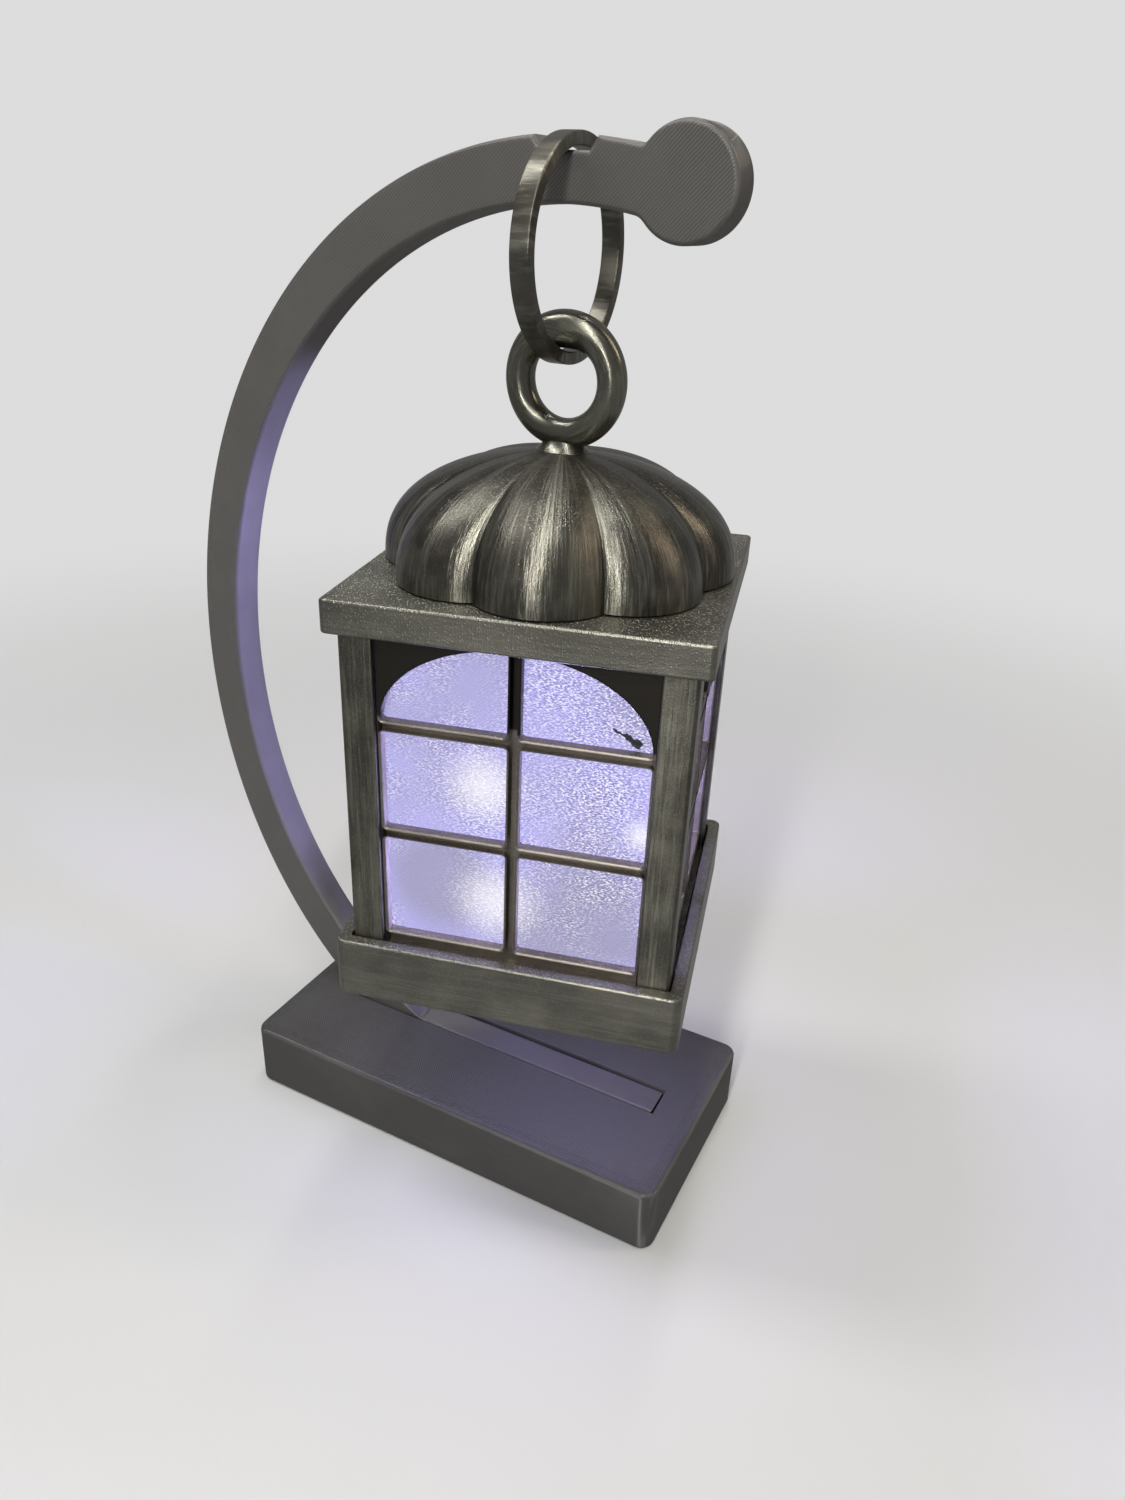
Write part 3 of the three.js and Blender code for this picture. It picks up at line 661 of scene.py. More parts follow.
def stand_finish(name, paint, face_axis, line_axis, border=None):
    """Satin plastic: slanted lines on the faces that look along face_axis, layers elsewhere."""
    material, shader, position, normal = new_finish(name, metallic=0.45, anisotropic=1.0)
    flat = between(abs(dot(normal, face_axis)), 0.9, 0.98)
    slanted = placed("Laid lines", Across=dot(position, line_axis), Position=position)["Height"]
    if border is not None:
        slanted = border_lines(position, slanted, *border)
    slanted = slanted * flat
    layers = placed("Print streaks", Grain=grain_of(shader), Fine=0.0003, Broad=0.0016)
    rubbed = placed("Handling", Position=position, Size=0.016)["Mask"]
    pale = rgba(paint, 1.7)
    worn = mixed(rubbed * 0.22, rgba(paint), pale)
    height = slanted * 0.6 + layers["Height"] * (1.0 - flat)
    feed(
        shader, base_color=mixed(slanted * 0.8 + layers["Streaks"] * 0.15, worn, pale),
        roughness=rubbed * 0.05 + layers["Height"] * 0.08 + 0.37,
        tangent=stretched(shader), normal=bumped(height, 0.00009, 0.7),
    )
    return material


# Spots of painted light and shade on the front pane: the bar they hang under, x of the middle, its depth
# under the bar, the radius
HOT_SPOTS = (
    ("upper", -0.0055, 0.0100, 0.0095), ("upper", 0.0225, 0.0150, 0.0045),
    ("lower", -0.0030, 0.0125, 0.0105),
)
GRAINY_SPOTS = (
    ("upper", 0.0150, 0.0080, 0.0170), ("upper", -0.0050, 0.0120, 0.0160),
    ("lower", -0.0020, 0.0120, 0.0150),
)
SHADED_SPOTS = (("lower", 0.0140, 0.0120, 0.0220), ("lower", -0.0130, 0.0090, 0.0130))

# The crack in the front pane: x and height over the upper bar of its two ends, and its width
CRACK_START = (0.0163, 0.0046)
CRACK_END = (0.0210, 0.0018)
CRACK_WIDTH = 0.0006
CRACK_GLOW = (0.012, 0.01, 0.015)
CRACK_PAINT = (0.01, 0.01, 0.01)
PANE_PAINT = (0.12, 0.11, 0.18)


def soft_spots(pane, spots, bars):
    """Soft round spots on the front pane: a smooth step down from each middle, all added up."""
    plan = vector_maths("MULTIPLY", pane, (1, 0, 1))
    return sum(
        between(vector_maths("DISTANCE", plan, (x, 0, bars[bar] - depth)), radius, 0.0)
        for bar, x, depth, radius in spots
    )


def hair_crack(pane, upper_bar):
    """A crooked line on the front pane that widens from its start to its end."""
    start, end = (np.array([x, 0, upper_bar + z]) for x, z in (CRACK_START, CRACK_END))
    reach = np.linalg.norm(end - start)
    way = (end - start) / reach
    offset = vector_maths("SUBTRACT", pane, tuple(start))
    done = dot(offset, tuple(way))
    aside = dot(offset, (way[2], 0, -way[0])) + noise(pane, 0.0011) * 0.0016 - 0.0008
    half = maths("POWER", done / reach, 2.0) * CRACK_WIDTH + 0.0002
    begun = maths("GREATER_THAN", done, 0.0)
    return maths("LESS_THAN", abs(aside), half) * begun * maths("LESS_THAN", done, reach)


def pane_finish(name, finish, bars):
    """Lit, hammered plastic: slanted lines, white and dark grains in patches, and soft hot spots."""
    # The panes' colour is painted light: their emission stands in for the tea light shining through,
    # with painted hot spots and shade
    material, shader, _, _ = new_finish(name, roughness=0.3, coat_weight=0.15, emission_strength=0.9)
    pane = grain_of(shader)
    across = dot(pane, (0.64, 0, -0.77))
    lines = placed("Laid lines", Across=across, Position=pane, Pitch=0.0005, Waver=0.0009)["Height"]
    slant = {"Vector": pane, "Rotation": (0, 0.694, 0), "Scale": (0.5, 1, 1)}
    hammered = noise(Value(add_node("Mapping", {}, slant)[0]), 0.00027, 1.0, 0.6)
    patches = placed("Handling", Position=pane, Size=0.017)["Mask"]
    glow_patches = between(noise(pane, 0.024, 1.0), 0.38, 0.62)
    hot, grainy, shaded = (
        soft_spots(pane, spots, bars) for spots in (HOT_SPOTS, GRAINY_SPOTS, SHADED_SPOTS)
    )
    lively = maths("MAXIMUM", patches * 0.8, grainy)
    crack = hair_crack(pane, bars["upper"])
    paint = rgba(finish.glow_dim)
    for factor, light in (
        (glow_patches * 0.6 + lines * 0.25 - shaded * 1.3 + 0.3, finish.glow),
        (between(hammered, 0.49, 0.41) * lively * 0.9, finish.glow_dark),
        (hot * 0.7, finish.glow_white),
        (between(hammered, 0.53, 0.62) * lively, finish.glow_white),
        (crack, CRACK_GLOW),
    ):
        paint = mixed(factor, paint, rgba(light))
    feed(
        shader, emission_color=paint, base_color=mixed(crack, rgba(PANE_PAINT), rgba(CRACK_PAINT)),
        normal=bumped(hammered + lines * 0.35, 0.00025, 0.7),
    )
    return material


def plain_finish(name, paint, roughness, metallic=0.0, glow=None, strength=0.0):
    """Moulded plastic or plated metal with faint marks and rubbed patches."""
    material, shader, position, _ = new_finish(name, metallic=metallic, emission_strength=strength)
    rubbed = placed("Handling", Position=position, Size=0.006)["Mask"]
    fine = noise(position, 0.0005, 3.0, 0.6)
    if glow is not None:
        feed(shader, emission_color=mixed(fine, rgba(glow), (1.0, 0.97, 0.95, 1.0)))
    feed(
        shader, base_color=mixed(rubbed, rgba(paint), rgba(paint, 0.82)),
        roughness=rubbed * 0.12 + fine * 0.1 + (roughness - 0.1), normal=bumped(fine, 0.00003, 0.6),
    )
    return material


# Stand


def arm_ellipse(top, upper, bottom, reach):
    """An ellipse about the hang axis between a highest and a lowest level."""
    centre = top - upper
    return {"z": centre, "reach": reach, "upper": upper, "lower": centre - bottom}


def arm_ellipses(sizes):
    """The outer and the inner edge of the arm."""
    inner_top = sizes.crown - sizes.band_top
    return (
        arm_ellipse(sizes.crown, OUTER_UPPER, OUTER_BOTTOM, sizes.reach),
        arm_ellipse(inner_top, INNER_UPPER, INNER_BOTTOM, sizes.reach - sizes.band_side),
    )


def on_ellipse(ellipse, t, out=0.0):
    """Reach times cos t and half height times sin t, moved out along the ellipse's normal."""
    half = np.where(np.sin(t) < 0, ellipse["lower"], ellipse["upper"])
    point = side_by_side(ellipse["reach"] * np.cos(t), half * np.sin(t))
    normal = side_by_side(np.cos(t) / ellipse["reach"], np.sin(t) / half)
    normal = normal / np.linalg.norm(normal, axis=-1, keepdims=True)
    return (hang_x, ellipse["z"]) + point + out * normal


def angle_at(ellipse, z):
    """Where the left limb of an ellipse reaches a height."""
    return np.pi + np.arcsin((ellipse["z"] - z) / ellipse["lower"])


def meeting_angle(ellipse, out, knob, distance):
    """Where a point that is out from the ellipse is at a distance from the knob's middle."""
    t = np.linspace(np.radians(77), np.pi / 2, 4001)
    gap = np.linalg.norm(on_ellipse(ellipse, t, out) - knob, axis=1) - distance
    return np.interp(0, gap, t)


def arc(centre, radius, start, end, steps):
    """A circle's part from the direction of one point to the direction of another."""
    first, last = (np.arctan2(*(point - centre)[::-1]) for point in (start, end))
    return centre + radius * unit(np.linspace(first, last, steps + 1))


def arm_outline(sizes):
    """Along the foot bar, up the inner ellipse, round the knob, and back over the outer ellipse."""
    outer, inner = arm_ellipses(sizes)
    knob = np.array([hang_x + sizes.knob_out, sizes.crown - sizes.knob_drop])
    base_top = high("stand_base")
    foot_top = base_top - FOOT_RECESS
    foot_bottom = low("stand_arm")
    heel = on_ellipse(outer, angle_at(outer, base_top))[0]
    lower = meeting_angle(inner, -LOWER_FILLET, knob, sizes.knob_radius + LOWER_FILLET)
    upper = meeting_angle(outer, UPPER_FILLET, knob, sizes.knob_radius + UPPER_FILLET)
    lower_centre = on_ellipse(inner, lower, -LOWER_FILLET)
    upper_centre = on_ellipse(outer, upper, UPPER_FILLET)
    half = sizes.notch_half
    rim, floor = sizes.crown - NOTCH_TOP, sizes.crown - sizes.notch_depth
    notch = [
        [hang_x + half + NOTCH_FLARE, rim], [hang_x + half, floor],
        [hang_x - half, floor], [hang_x - half - NOTCH_FLARE, rim],
    ]
    notch_reach = np.arcsin((half + 1.9 * NOTCH_FLARE) / sizes.reach)
    return np.concatenate([
        [[heel, foot_bottom], [sizes.foot_end, foot_bottom], [sizes.foot_end, foot_top]],
        on_ellipse(inner, np.linspace(angle_at(inner, foot_top), lower, 140)),
        arc(lower_centre, LOWER_FILLET, on_ellipse(inner, lower), knob, 10)[1:],
        arc(knob, sizes.knob_radius, lower_centre, upper_centre, 72)[1:],
        arc(upper_centre, UPPER_FILLET, knob, on_ellipse(outer, upper), 8)[1:-1],
        on_ellipse(outer, np.linspace(upper, np.pi / 2 - notch_reach, 5)),
        notch,
        on_ellipse(outer, np.linspace(np.pi / 2 + notch_reach, angle_at(outer, base_top), 140)),
    ])


def base_block(sizes, finish):
    """A rounded rectangle carried up through its two eased edges, with a sunk slot."""
    top = high("stand_base")
    outer = arm_ellipses(sizes)[0]
    start = on_ellipse(outer, angle_at(outer, top))[0] - PLAY
    end = sizes.foot_end + SLOT_END_PLAY
    half = sizes.plate / 2 + PLAY
    outline = rounded_rectangle(sizes.base_length, sizes.base_width, sizes.base_corner, 8)
    slot = rectangle(start, -half, end, half)[::-1]
    skin = Skin()
    side = skin.walls(outline, wall_levels(0, top, sizes.base_edge * 0.6, sizes.base_edge))
    pocket = skin.walls(slot, wall_levels(SLOT_FLOOR, top, 0, SLOT_EDGE, 3))
    skin.fill([side[0]], -1)
    skin.fill([side[-1], pocket[-1]], 1)
    skin.fill([pocket[0]], 1)
    border = (sizes.base_length / 2, sizes.base_width / 2, BORDER)
    material = stand_finish("Base plastic", finish.base, (0, 0, 1), (0.7071, 0.7071, 0), border)
    x, y, z = skin.points.T
    make_piece(
        "base_block", skin, skin.points / (12, 12, 1), "stand", "stand_base", material,
        side_by_side(z + 0.3 * (x + y), x - y),
    )


def arm_plate(sizes, finish):
    """The arm's outline carried through the plate's thickness, with rounded edges."""
    half = sizes.plate / 2
    skin = Skin()
    skin.close(
        skin.walls(arm_outline(sizes), wall_levels(-half, half, sizes.plate_edge, sizes.plate_edge))
    )
    skin.stand_up()
    material = stand_finish("Arm plastic", finish.arm, (0, 1, 0), (0.7071, 0, -0.7071))
    x, y, z = skin.points.T
    make_piece(
        "arm_plate", skin, skin.points / (14, 1, 14), "stand", "stand_arm", material,
        side_by_side(y + 0.3 * (x - z), x + z),
    )


# Rings


def hanging_band(sizes, finish):
    """A rectangle with soft corners carried round the X axis."""
    half = sizes.ring_width / 2
    bore, rim = sizes.ring_bore, sizes.ring_bore + sizes.ring_wall
    section = softened(rectangle(bore, -half, rim, half), RING_EDGE, 5)
    steps = 200
    around = turns(steps)[:, None]
    out, along = section[:, 0], section[:, 1]
    points = side_by_side(hang_x + along, out * np.sin(around), ring_z + out * np.cos(around))
    grain = side_by_side(rim * np.cos(around), rim * np.sin(around), (along + out) / 6)
    skin = Skin()
    skin.grid(points, closed_rows=True)
    skin.faces = [face[::-1] for face in skin.faces]
    sheen = np.indices(points.shape[:2])[::-1].reshape(2, -1).T / steps
    material = silk_finish(
        "Silk, hanging ring", finish,
        line=0.0011, depth=0.8, relief=1.2, sparkle=0.05, gloss=0.29, stretch=0.9,
    )
    make_piece(
        "hanging_band", skin, grain.reshape(-1, 3), "ring", "hanging_ring", material,
        sheen, weighted=False,
    )


def eye_loop(sizes, finish):
    """A round wire carried round a circle, thicker where its print sags, on a flared foot."""
    eye_z = high("eye_ring") - sizes.eye_radius - sizes.eye_wire
    angle = turns(160)[:, None]
    around = turns(40)[None, :]
    sag = sizes.eye_sag * np.maximum(0, np.sin(angle)) ** 4 / 2
    wire = sizes.eye_wire + sag
    out = sizes.eye_radius - sag + wire * np.cos(around)
    skin = Skin()
    skin.grid(
        side_by_side(hang_x + out * np.cos(angle), wire * np.sin(around), eye_z + out * np.sin(angle)),
        closed_rows=True,
    )
    wire_grain = side_by_side(
        wire * np.cos(around) + 0.002 * np.cos(angle), wire * np.sin(around) + 0.002 * np.sin(angle), 0
    )
    foot = np.linspace(0, 1, 16)[:, None]
    turned = turns(72)[None, :]
    along, across = (end + (start - end) * (1 - foot) ** 2.2 for start, end in (FOOT_ALONG, FOOT_ACROSS))
    level = high("dome_roof") - FOOT_SUNK + (FOOT_HEIGHT + FOOT_SUNK) * foot
    rows = side_by_side(hang_x + along * np.cos(turned), across * np.sin(turned), level)
    skin.close(skin.grid(rows))
    maps = [
        side_by_side(first, second).reshape(-1, 2) / 10
        for first, second in ((angle, around), (foot, turned))
    ]
    material = silk_finish(
        "Silk, eye ring", finish,
        line=0.0005, depth=0.6, relief=0.8, sparkle=0.1, gloss=0.24, stretch=0.35,
    )
    make_piece(
        "eye_loop", skin,
        np.concatenate([wire_grain.reshape(-1, 3), rows.reshape(-1, 3) * (1, 1, 0.1)]),
        "roof", "eye_ring", material, np.concatenate(maps), weighted=False,
    )


# Roof


def lobed_dome(sizes, finish):
    """Arcs from crease to crease, shrunk up to the top along a flattened superellipse."""
    bottom, top = low("dome_roof"), high("dome_roof")
    columns, rows = 32, 56
    step = 2 * np.pi / sizes.lobes
    fine = (1 - np.cos(np.pi * np.arange(columns) / columns)) / 2
    from_lobe = np.tile((fine - 0.5) * step, sizes.lobes)
    angle = sizes.dome_turn + np.repeat(np.arange(sizes.lobes), columns) * step + from_lobe
    half = sizes.crease_radius * np.sin(step / 2)
    bulge = sizes.lobe_radius - sizes.crease_radius * np.cos(step / 2)
    radius = (half**2 + bulge**2) / (2 * bulge)
    centre = sizes.lobe_radius - radius
    reach = centre * np.cos(from_lobe) + np.sqrt(radius**2 - (centre * np.sin(from_lobe)) ** 2)
    last = np.arccos((STEM_BORE / sizes.crease_radius) ** (sizes.fall / 2))
    t = last * np.linspace(0, 1, rows)[:, None]
    out = reach * np.cos(t) ** (2 / sizes.fall)
    height = bottom + (top - bottom) * np.sin(t) ** (2 / sizes.rise)
    out = np.concatenate([out, np.full((2, len(angle)), STEM_BORE)])
    height = np.concatenate([height, height[-1:], [[bottom]]])
    points = side_by_side(out * np.cos(angle), out * np.sin(angle), height)
    grain = points / 14
    grain[..., :2] = 0.026 * unit(angle)
    skin = Skin()
    skin.grid(points + (hang_x, 0, 0), closed_rows=True)
    material = silk_finish(
        "Silk, dome", finish,
        line=0.0005, depth=1.0, relief=1.4, sparkle=0.35, gloss=0.3, stretch=0.92,
    )
    make_piece(
        "lobed_dome", skin, grain.reshape(-1, 3), "roof", "dome_roof", material,
        np.indices(points.shape[:2]).reshape(2, -1).T / 100, weighted=False,
    )


def square_lid(sizes, finish):
    """A square with eased edges over a square recess, with a hole for the stem."""
    bottom, top = low("lid_plate"), high("lid_plate")
    ceiling = bottom + LID_RECESS
    recess = rounded_square(sizes.cage_size + 2 * PLAY, CRISP, 2)[::-1]
    skin = Skin()
    side = skin.walls(
        rounded_square(sizes.lid_size, LID_CORNER), wall_levels(bottom, top, EASED, EASED)
    )
    inside = skin.walls(recess, [(0, bottom), (0, ceiling)])
    bore = skin.walls(circle(STEM_BORE, 32)[::-1], [(0, ceiling), (0, top)])
    skin.fill([side[0], inside[0]], -1)
    skin.fill([inside[-1], bore[0]], -1)
    skin.fill([side[-1], bore[-1]], 1)
    material = silk_finish(
        "Silk, lid", finish,
        line=0.0005, depth=0.35, relief=0.5, sparkle=1.2, gloss=0.34, stretch=0.6,
        sheen=finish.silk_pale,
    )
    housed("square_lid", skin, skin.points / (14, 14, 1), "lid_plate", sizes, material)


# Housing


def housed(name, skin, grain, node, sizes, material, body="housing", side=0):
    """A piece drawn about the hang axis, turned with the housing.

    Its sheen stretches along a direction that climbs, so that it stretches up the sides.
    """
    x, y, z = skin.points.T
    along = side_by_side(z + 0.3 * (x - y), x + 0.6 * y)
    turning = np.array(Matrix.Rotation(sizes.body_turn + side * np.pi / 2, 3, "Z"))
    skin.points = skin.points @ turning.T + (hang_x, 0, 0)
    return make_piece(name, skin, grain, body, node, material, along)


def pane_front(sizes):
    return sizes.cage_size / 2 - sizes.frame_inset - sizes.frame_depth


def post_inner(sizes):
    return sizes.cage_size / 2 - sizes.post_size


def post_cage(sizes, finish):
    """Four stepped sections carried up, between two square rails."""
    bottom, top = low("body_cage"), high("body_cage")
    outer, inner, front = sizes.cage_size / 2, post_inner(sizes), pane_front(sizes)
    step = inner + REBATE
    section = softened(np.array([
        [outer, outer], [inner, outer], [inner, front], [step, front],
        [step, step], [front, step], [front, inner], [outer, inner],
    ]), np.array([POST_CORNER] + [CRISP] * 7))
    skin = Skin()
    for side in range(4):
        turning = np.array(Matrix.Rotation(side * np.pi / 2, 2))
        skin.close(skin.walls(section @ turning.T, [(0, bottom), (0, top)]))
    outline = rounded_square(sizes.cage_size - RAIL_INSET, POST_CORNER)
    for half, start, end in ((step, bottom, bottom + BOTTOM_RAIL), (front, top - TOP_RAIL, top)):
        levels = [(0, start), (0, end)]
        opening = rounded_square(2 * half, RAIL_CORNER, 2)[::-1]
        skin.close(skin.walls(outline, levels), skin.walls(opening, levels))
    material = silk_finish(
        "Silk, posts", finish,
        line=0.0005, depth=0.75, relief=1.2, sparkle=0.7, gloss=0.31, stretch=0.85,
    )
    housed("post_cage", skin, skin.points / (1, 1, 22), "body_cage", sizes, material)


def window_levels(sizes):
    """Heights at which the two rows of openings and the arch begin."""
    lower = low("window_frame_front") + sizes.sill
    middle = lower + sizes.lower_row + sizes.bar
    spring = middle + sizes.middle_row + sizes.bar
    return lower, middle, spring


def window_openings(sizes):
    """Four rectangles and two halves of a half ellipse, clockwise, in plan across and up."""
    lower, middle, spring = window_levels(sizes)
    half = post_inner(sizes) - PLAY / 2 - STILE
    inner = sizes.mullion / 2
    t = np.linspace(0, np.arccos(inner / half), 20)
    arch = side_by_side(half * np.cos(t), spring + sizes.arch_rise * np.sin(t))
    loops = []
    for start, height in ((lower, sizes.lower_row), (middle, sizes.middle_row)):
        loops.append(softened(rectangle(inner, start, half, start + height), OPENING_CORNER, 6))
    loops.append(softened(np.concatenate([[[inner, spring]], arch]), OPENING_CORNER, 3))
    return [mirrored for loop in loops for mirrored in (loop[::-1], loop * (-1, 1))]


def upright_plate(node, half):
    """The outline of a flat plate as high as a node of the frame."""
    return rectangle(-half, low(node), half, high(node))


def window_frames(sizes, finish):
    """A flat plate with six openings, whose front edges are rounded, for each side."""
    outline = upright_plate("window_frame_front", post_inner(sizes) - PLAY / 2)
    front = sizes.cage_size / 2 - sizes.frame_inset
    back = pane_front(sizes)
    # The frames carry painted shade above the arch's springing, where the lid's overhang shades the
    # spandrels
    material = silk_finish(
        "Silk, frames", finish,
        line=0.0006, depth=0.4, relief=0.4, sparkle=0.5, gloss=0.4, stretch=0.4,
        sheen=finish.bars, painted_shade_above=window_levels(sizes)[2] + PAINTED_SHADE_START,
    )
    for side, name in enumerate(SIDES):
        skin = Skin()
        edge = skin.walls(outline, wall_levels(back, front, 0, FRAME_RIM, 2))
        levels = wall_levels(back, front, 0, FRAME_EDGE, 4)
        skin.close(edge, *[skin.walls(loop, levels) for loop in window_openings(sizes)])
        skin.stand_up()
        housed(
            f"window_{name}", skin, skin.points / (9, 1, 1), f"window_frame_{name}", sizes, material,
            side=side,
        )


def lit_panes(sizes, finish):
    """A thin plate with eased edges behind each window frame."""
    outline = upright_plate("diffuser_pane_front", post_inner(sizes) + REBATE - PLAY)
    front = pane_front(sizes) - PLAY
    _, middle, spring = window_levels(sizes)
    bars = {"upper": spring - sizes.bar / 2, "lower": middle - sizes.bar / 2}
    material = pane_finish("Lit panes", finish, bars)
    for side, name in enumerate(SIDES):
        skin = Skin()
        skin.close(skin.walls(outline, wall_levels(front - sizes.pane, front, PANE_EDGE, PANE_EDGE, 2)))
        skin.stand_up()
        pane = housed(
            f"pane_{name}", skin, skin.points + (0.1 * side, 0, 0), f"diffuser_pane_{name}", sizes,
            material, side=side,
        )
        pane.visible_shadow = False


def skirt_tray(sizes, finish):
    """A square with eased edges, a stepped pocket, a round hole in the floor and a low collar."""
    bottom, top = low("base_tray"), high("base_tray")
    floor = bottom + sizes.tray_floor
    ledge = floor + LEDGE
    pocket_loop = rounded_square(sizes.cage_size + 2 * PLAY, POCKET_CORNER, 2)[::-1]
    well_loop = rounded_square(sizes.cage_size - 2 * LEDGE_WIDTH, POCKET_CORNER, 2)[::-1]
    skin = Skin()
    side = skin.walls(
        rounded_square(sizes.tray_size, TRAY_CORNER, 8), wall_levels(bottom, top, EASED, EASED)
    )
    pocket = skin.walls(pocket_loop, wall_levels(ledge, top, 0, CRISP, 3))
    well = skin.walls(well_loop, [(0, floor), (0, ledge)])
    hole = skin.walls(circle(sizes.finger_hole, 96)[::-1], wall_levels(bottom, floor, CRISP, 0, 3))
    skin.fill([side[-1], pocket[-1]], 1)
    skin.fill([pocket[0], well[-1]], 1)
    skin.fill([well[0], hole[-1]], 1)
    skin.fill([side[0], hole[0]], -1)
    inner = sizes.case_radius + PLAY
    outer = inner + COLLAR_WALL
    sunk, rim = floor - COLLAR_SUNK, floor + sizes.collar_height
    skin.turned(softened(rectangle(inner, sunk, outer, rim), CRISP, 3), 96)
    material = silk_finish(
        "Silk, tray", finish,
        line=0.0005, depth=0.35, relief=0.4, sparkle=0.9, gloss=0.32, stretch=0.7,
        sheen=finish.silk_pale,
    )
    housed(
        "skirt_tray", skin, skin.points / (14, 14, 1), "base_tray", sizes, material, body="tray"
    )


# Tea light


def tea_case(sizes, finish):
    """A cup turned upside down, with a neck and a sleeve, as one profile carried round the axis."""
    radius, top = sizes.case_radius, sizes.case_height
    edge, lowest, foot = (top - dip for dip in CASE_DIP)
    profile = np.array([
        [radius, 0], [radius, top], [radius - CASE_RIM[0], top], [radius - CASE_RIM[1], edge],
        [NECK + NECK_FOOT, lowest], [NECK, foot], [NECK, foot + NECK_HEIGHT],
        [NECK_BORE, foot + NECK_HEIGHT], [NECK_BORE, SLEEVE_BOTTOM], [SLEEVE, SLEEVE_BOTTOM],
        [SLEEVE, lowest - CASE_TOP], [radius - CASE_WALL, top - CASE_TOP], [radius - CASE_WALL, 0],
    ])
    skin = Skin()
    skin.turned(softened(profile, CASE_EDGE) + (0, low("light_case")), 128)
    housed(
        "tea_case", skin, skin.points, "light_case", sizes,
        plain_finish("Tea light plastic", finish.white, 0.4), body="tea_light",
    )


def tea_flame(sizes, finish):
    """A hollow drop: a cosine belly over a drawn-in foot, and the same curve one skin further in."""
    bottom, top = low("flame_cap"), high("flame_cap")
    up = np.linspace(0, 0.985, 48)
    over_foot = np.maximum(0, (up - FLAME_FOOT) / (1 - FLAME_FOOT))
    belly = np.cos(np.pi / 2 * over_foot) ** 0.9
    radius = sizes.flame_radius * belly * np.where(up < FLAME_FOOT, 0.93 + 0.35 * up, 1)
    height = bottom + (top - bottom) * up
    inside = radius > FLAME_WALL * 1.4
    inner = np.c_[radius[inside] - FLAME_WALL, height[inside]]
    profile = np.concatenate([inner[::-1], np.c_[radius, height]])
    skin = Skin()
    skin.close(skin.turned(profile, 96, closed_rows=False))
    flame = housed(
        "tea_flame", skin, skin.points, "flame_cap", sizes,
        plain_finish("Flame", finish.white, 0.3, glow=finish.flame, strength=1.2),
        body="tea_light",
    )
    flame.visible_shadow = False


def inner_finishes(finish):
    """Finishes for the solids that stay as they are."""
    white = plain_finish("Moulded plastic", finish.white, 0.42)
    metal = plain_finish("Plated steel", finish.metal, 0.28, metallic=1.0)
    chosen = {
        "light_plate": white,
        "battery_door": white,
        "switch_slider": plain_finish("Switch plastic", (0.06, 0.06, 0.065), 0.4),
        "battery_cell": metal,
        "contact_spring": metal,
        "contact_plate": metal,
        "circuit_board": plain_finish("Solder mask", finish.board, 0.35),
        "led_bulb": plain_finish("Lamp", finish.white, 0.2, glow=finish.glow, strength=2.0),
        "stem_washer": plain_finish("Washer plastic", finish.silk, 0.4),
    }
    for node, material in chosen.items():
        mesh = frame["nodes"][node].data
        mesh.materials.clear()
        mesh.materials.append(material)


# Studio

FLOOR_RADIUS = 6.0
FLOOR_LEVELS = (-0.01, -0.0001)
LAMP_TARGET = 0.12  # height that the lamps look at

# The lamp's azimuth from -Y towards +X and its elevation in degrees, its distance, size and tint
studio_lamps = {
    "strip": (10, 40, 0.65, (0.035, 0.95), (1.0, 1.0, 0.97)),
    "top": (10, 96, 0.6, (0.03, 0.3), (1.0, 1.0, 0.97)),
    "side": (-76, 61, 0.6, (0.08, 0.3), (1.0, 1.0, 1.0)),
    "rim": (115, 45, 0.6, (0.1, 0.35), (1.0, 0.84, 0.66)),
}


def studio_floor(studio):
    """A disc whose far part fades to the colour of the surroundings."""
    material, shader, position, _ = new_finish(
        "Pale floor", roughness=0.6, base_color=rgba(studio.floor)
    )
    mirrored = is_ray(shader, "Glossy")
    faded = between(vector_maths("LENGTH", position), 0.1, 0.5) * is_ray(shader, "Camera")
    level = between(mirrored, 0.0, 1.0, studio.surround, studio.reflected)
    glow = Value(add_node("Emission", {}, {"Color": (1, 1, 1, 1), "Strength": level})[0])
    inputs = {0: maths("MAXIMUM", faded, mirrored), 1: Value(shader.outputs[0]), 2: glow}
    blend = Value(add_node("MixShader", {}, inputs)[0])
    feed(material.node_tree.nodes["Material Output"], surface=blend)
    skin = Skin()
    disc = circle(FLOOR_RADIUS, 96)
    rows = skin.grid(np.array([np.c_[disc, np.full(96, z)] for z in FLOOR_LEVELS]))
    skin.fill([rows[-1]], 1)
    mesh = bpy.data.meshes.new("floor")
    mesh.from_pydata(skin.points.tolist(), [], skin.faces)
    mesh.materials.append(material)
    linked("floor", mesh)


def matrix_of(right, up, back, place):
    columns = np.eye(4)
    columns[:3, :4] = np.stack([right, up, back, place], 1)
    return Matrix(columns.tolist())


def looking_back(azimuth, elevation):
    """The level direction to the right and the direction back from the lantern, both of length one."""
    back = np.array([
        np.sin(azimuth) * np.cos(elevation), -np.cos(azimuth) * np.cos(elevation), np.sin(elevation)
    ])
    return np.array([np.cos(azimuth), np.sin(azimuth), 0.0]), back


def lamp(name, kind, watts, tint):
    """A lamp that the camera can't see."""
    light = bpy.data.lights.new(name, kind)
    light.energy = watts
    light.color = tint
    holder = linked(name, light)
    holder.visible_camera = False
    return holder


def sheet(holder, width, height):
    """Makes a lamp a soft rectangle."""
    holder.data.shape = "RECTANGLE"
    holder.data.size = width
    holder.data.size_y = height


def carry(holder, body, z):
    """Hangs a lamp on a body of the frame, on the hang axis at a height."""
    carrier = frame["bodies"][body]
    holder.parent = carrier
    holder.matrix_parent_inverse = carrier.matrix_world.inverted()
    holder.location = (hang_x, 0, z)


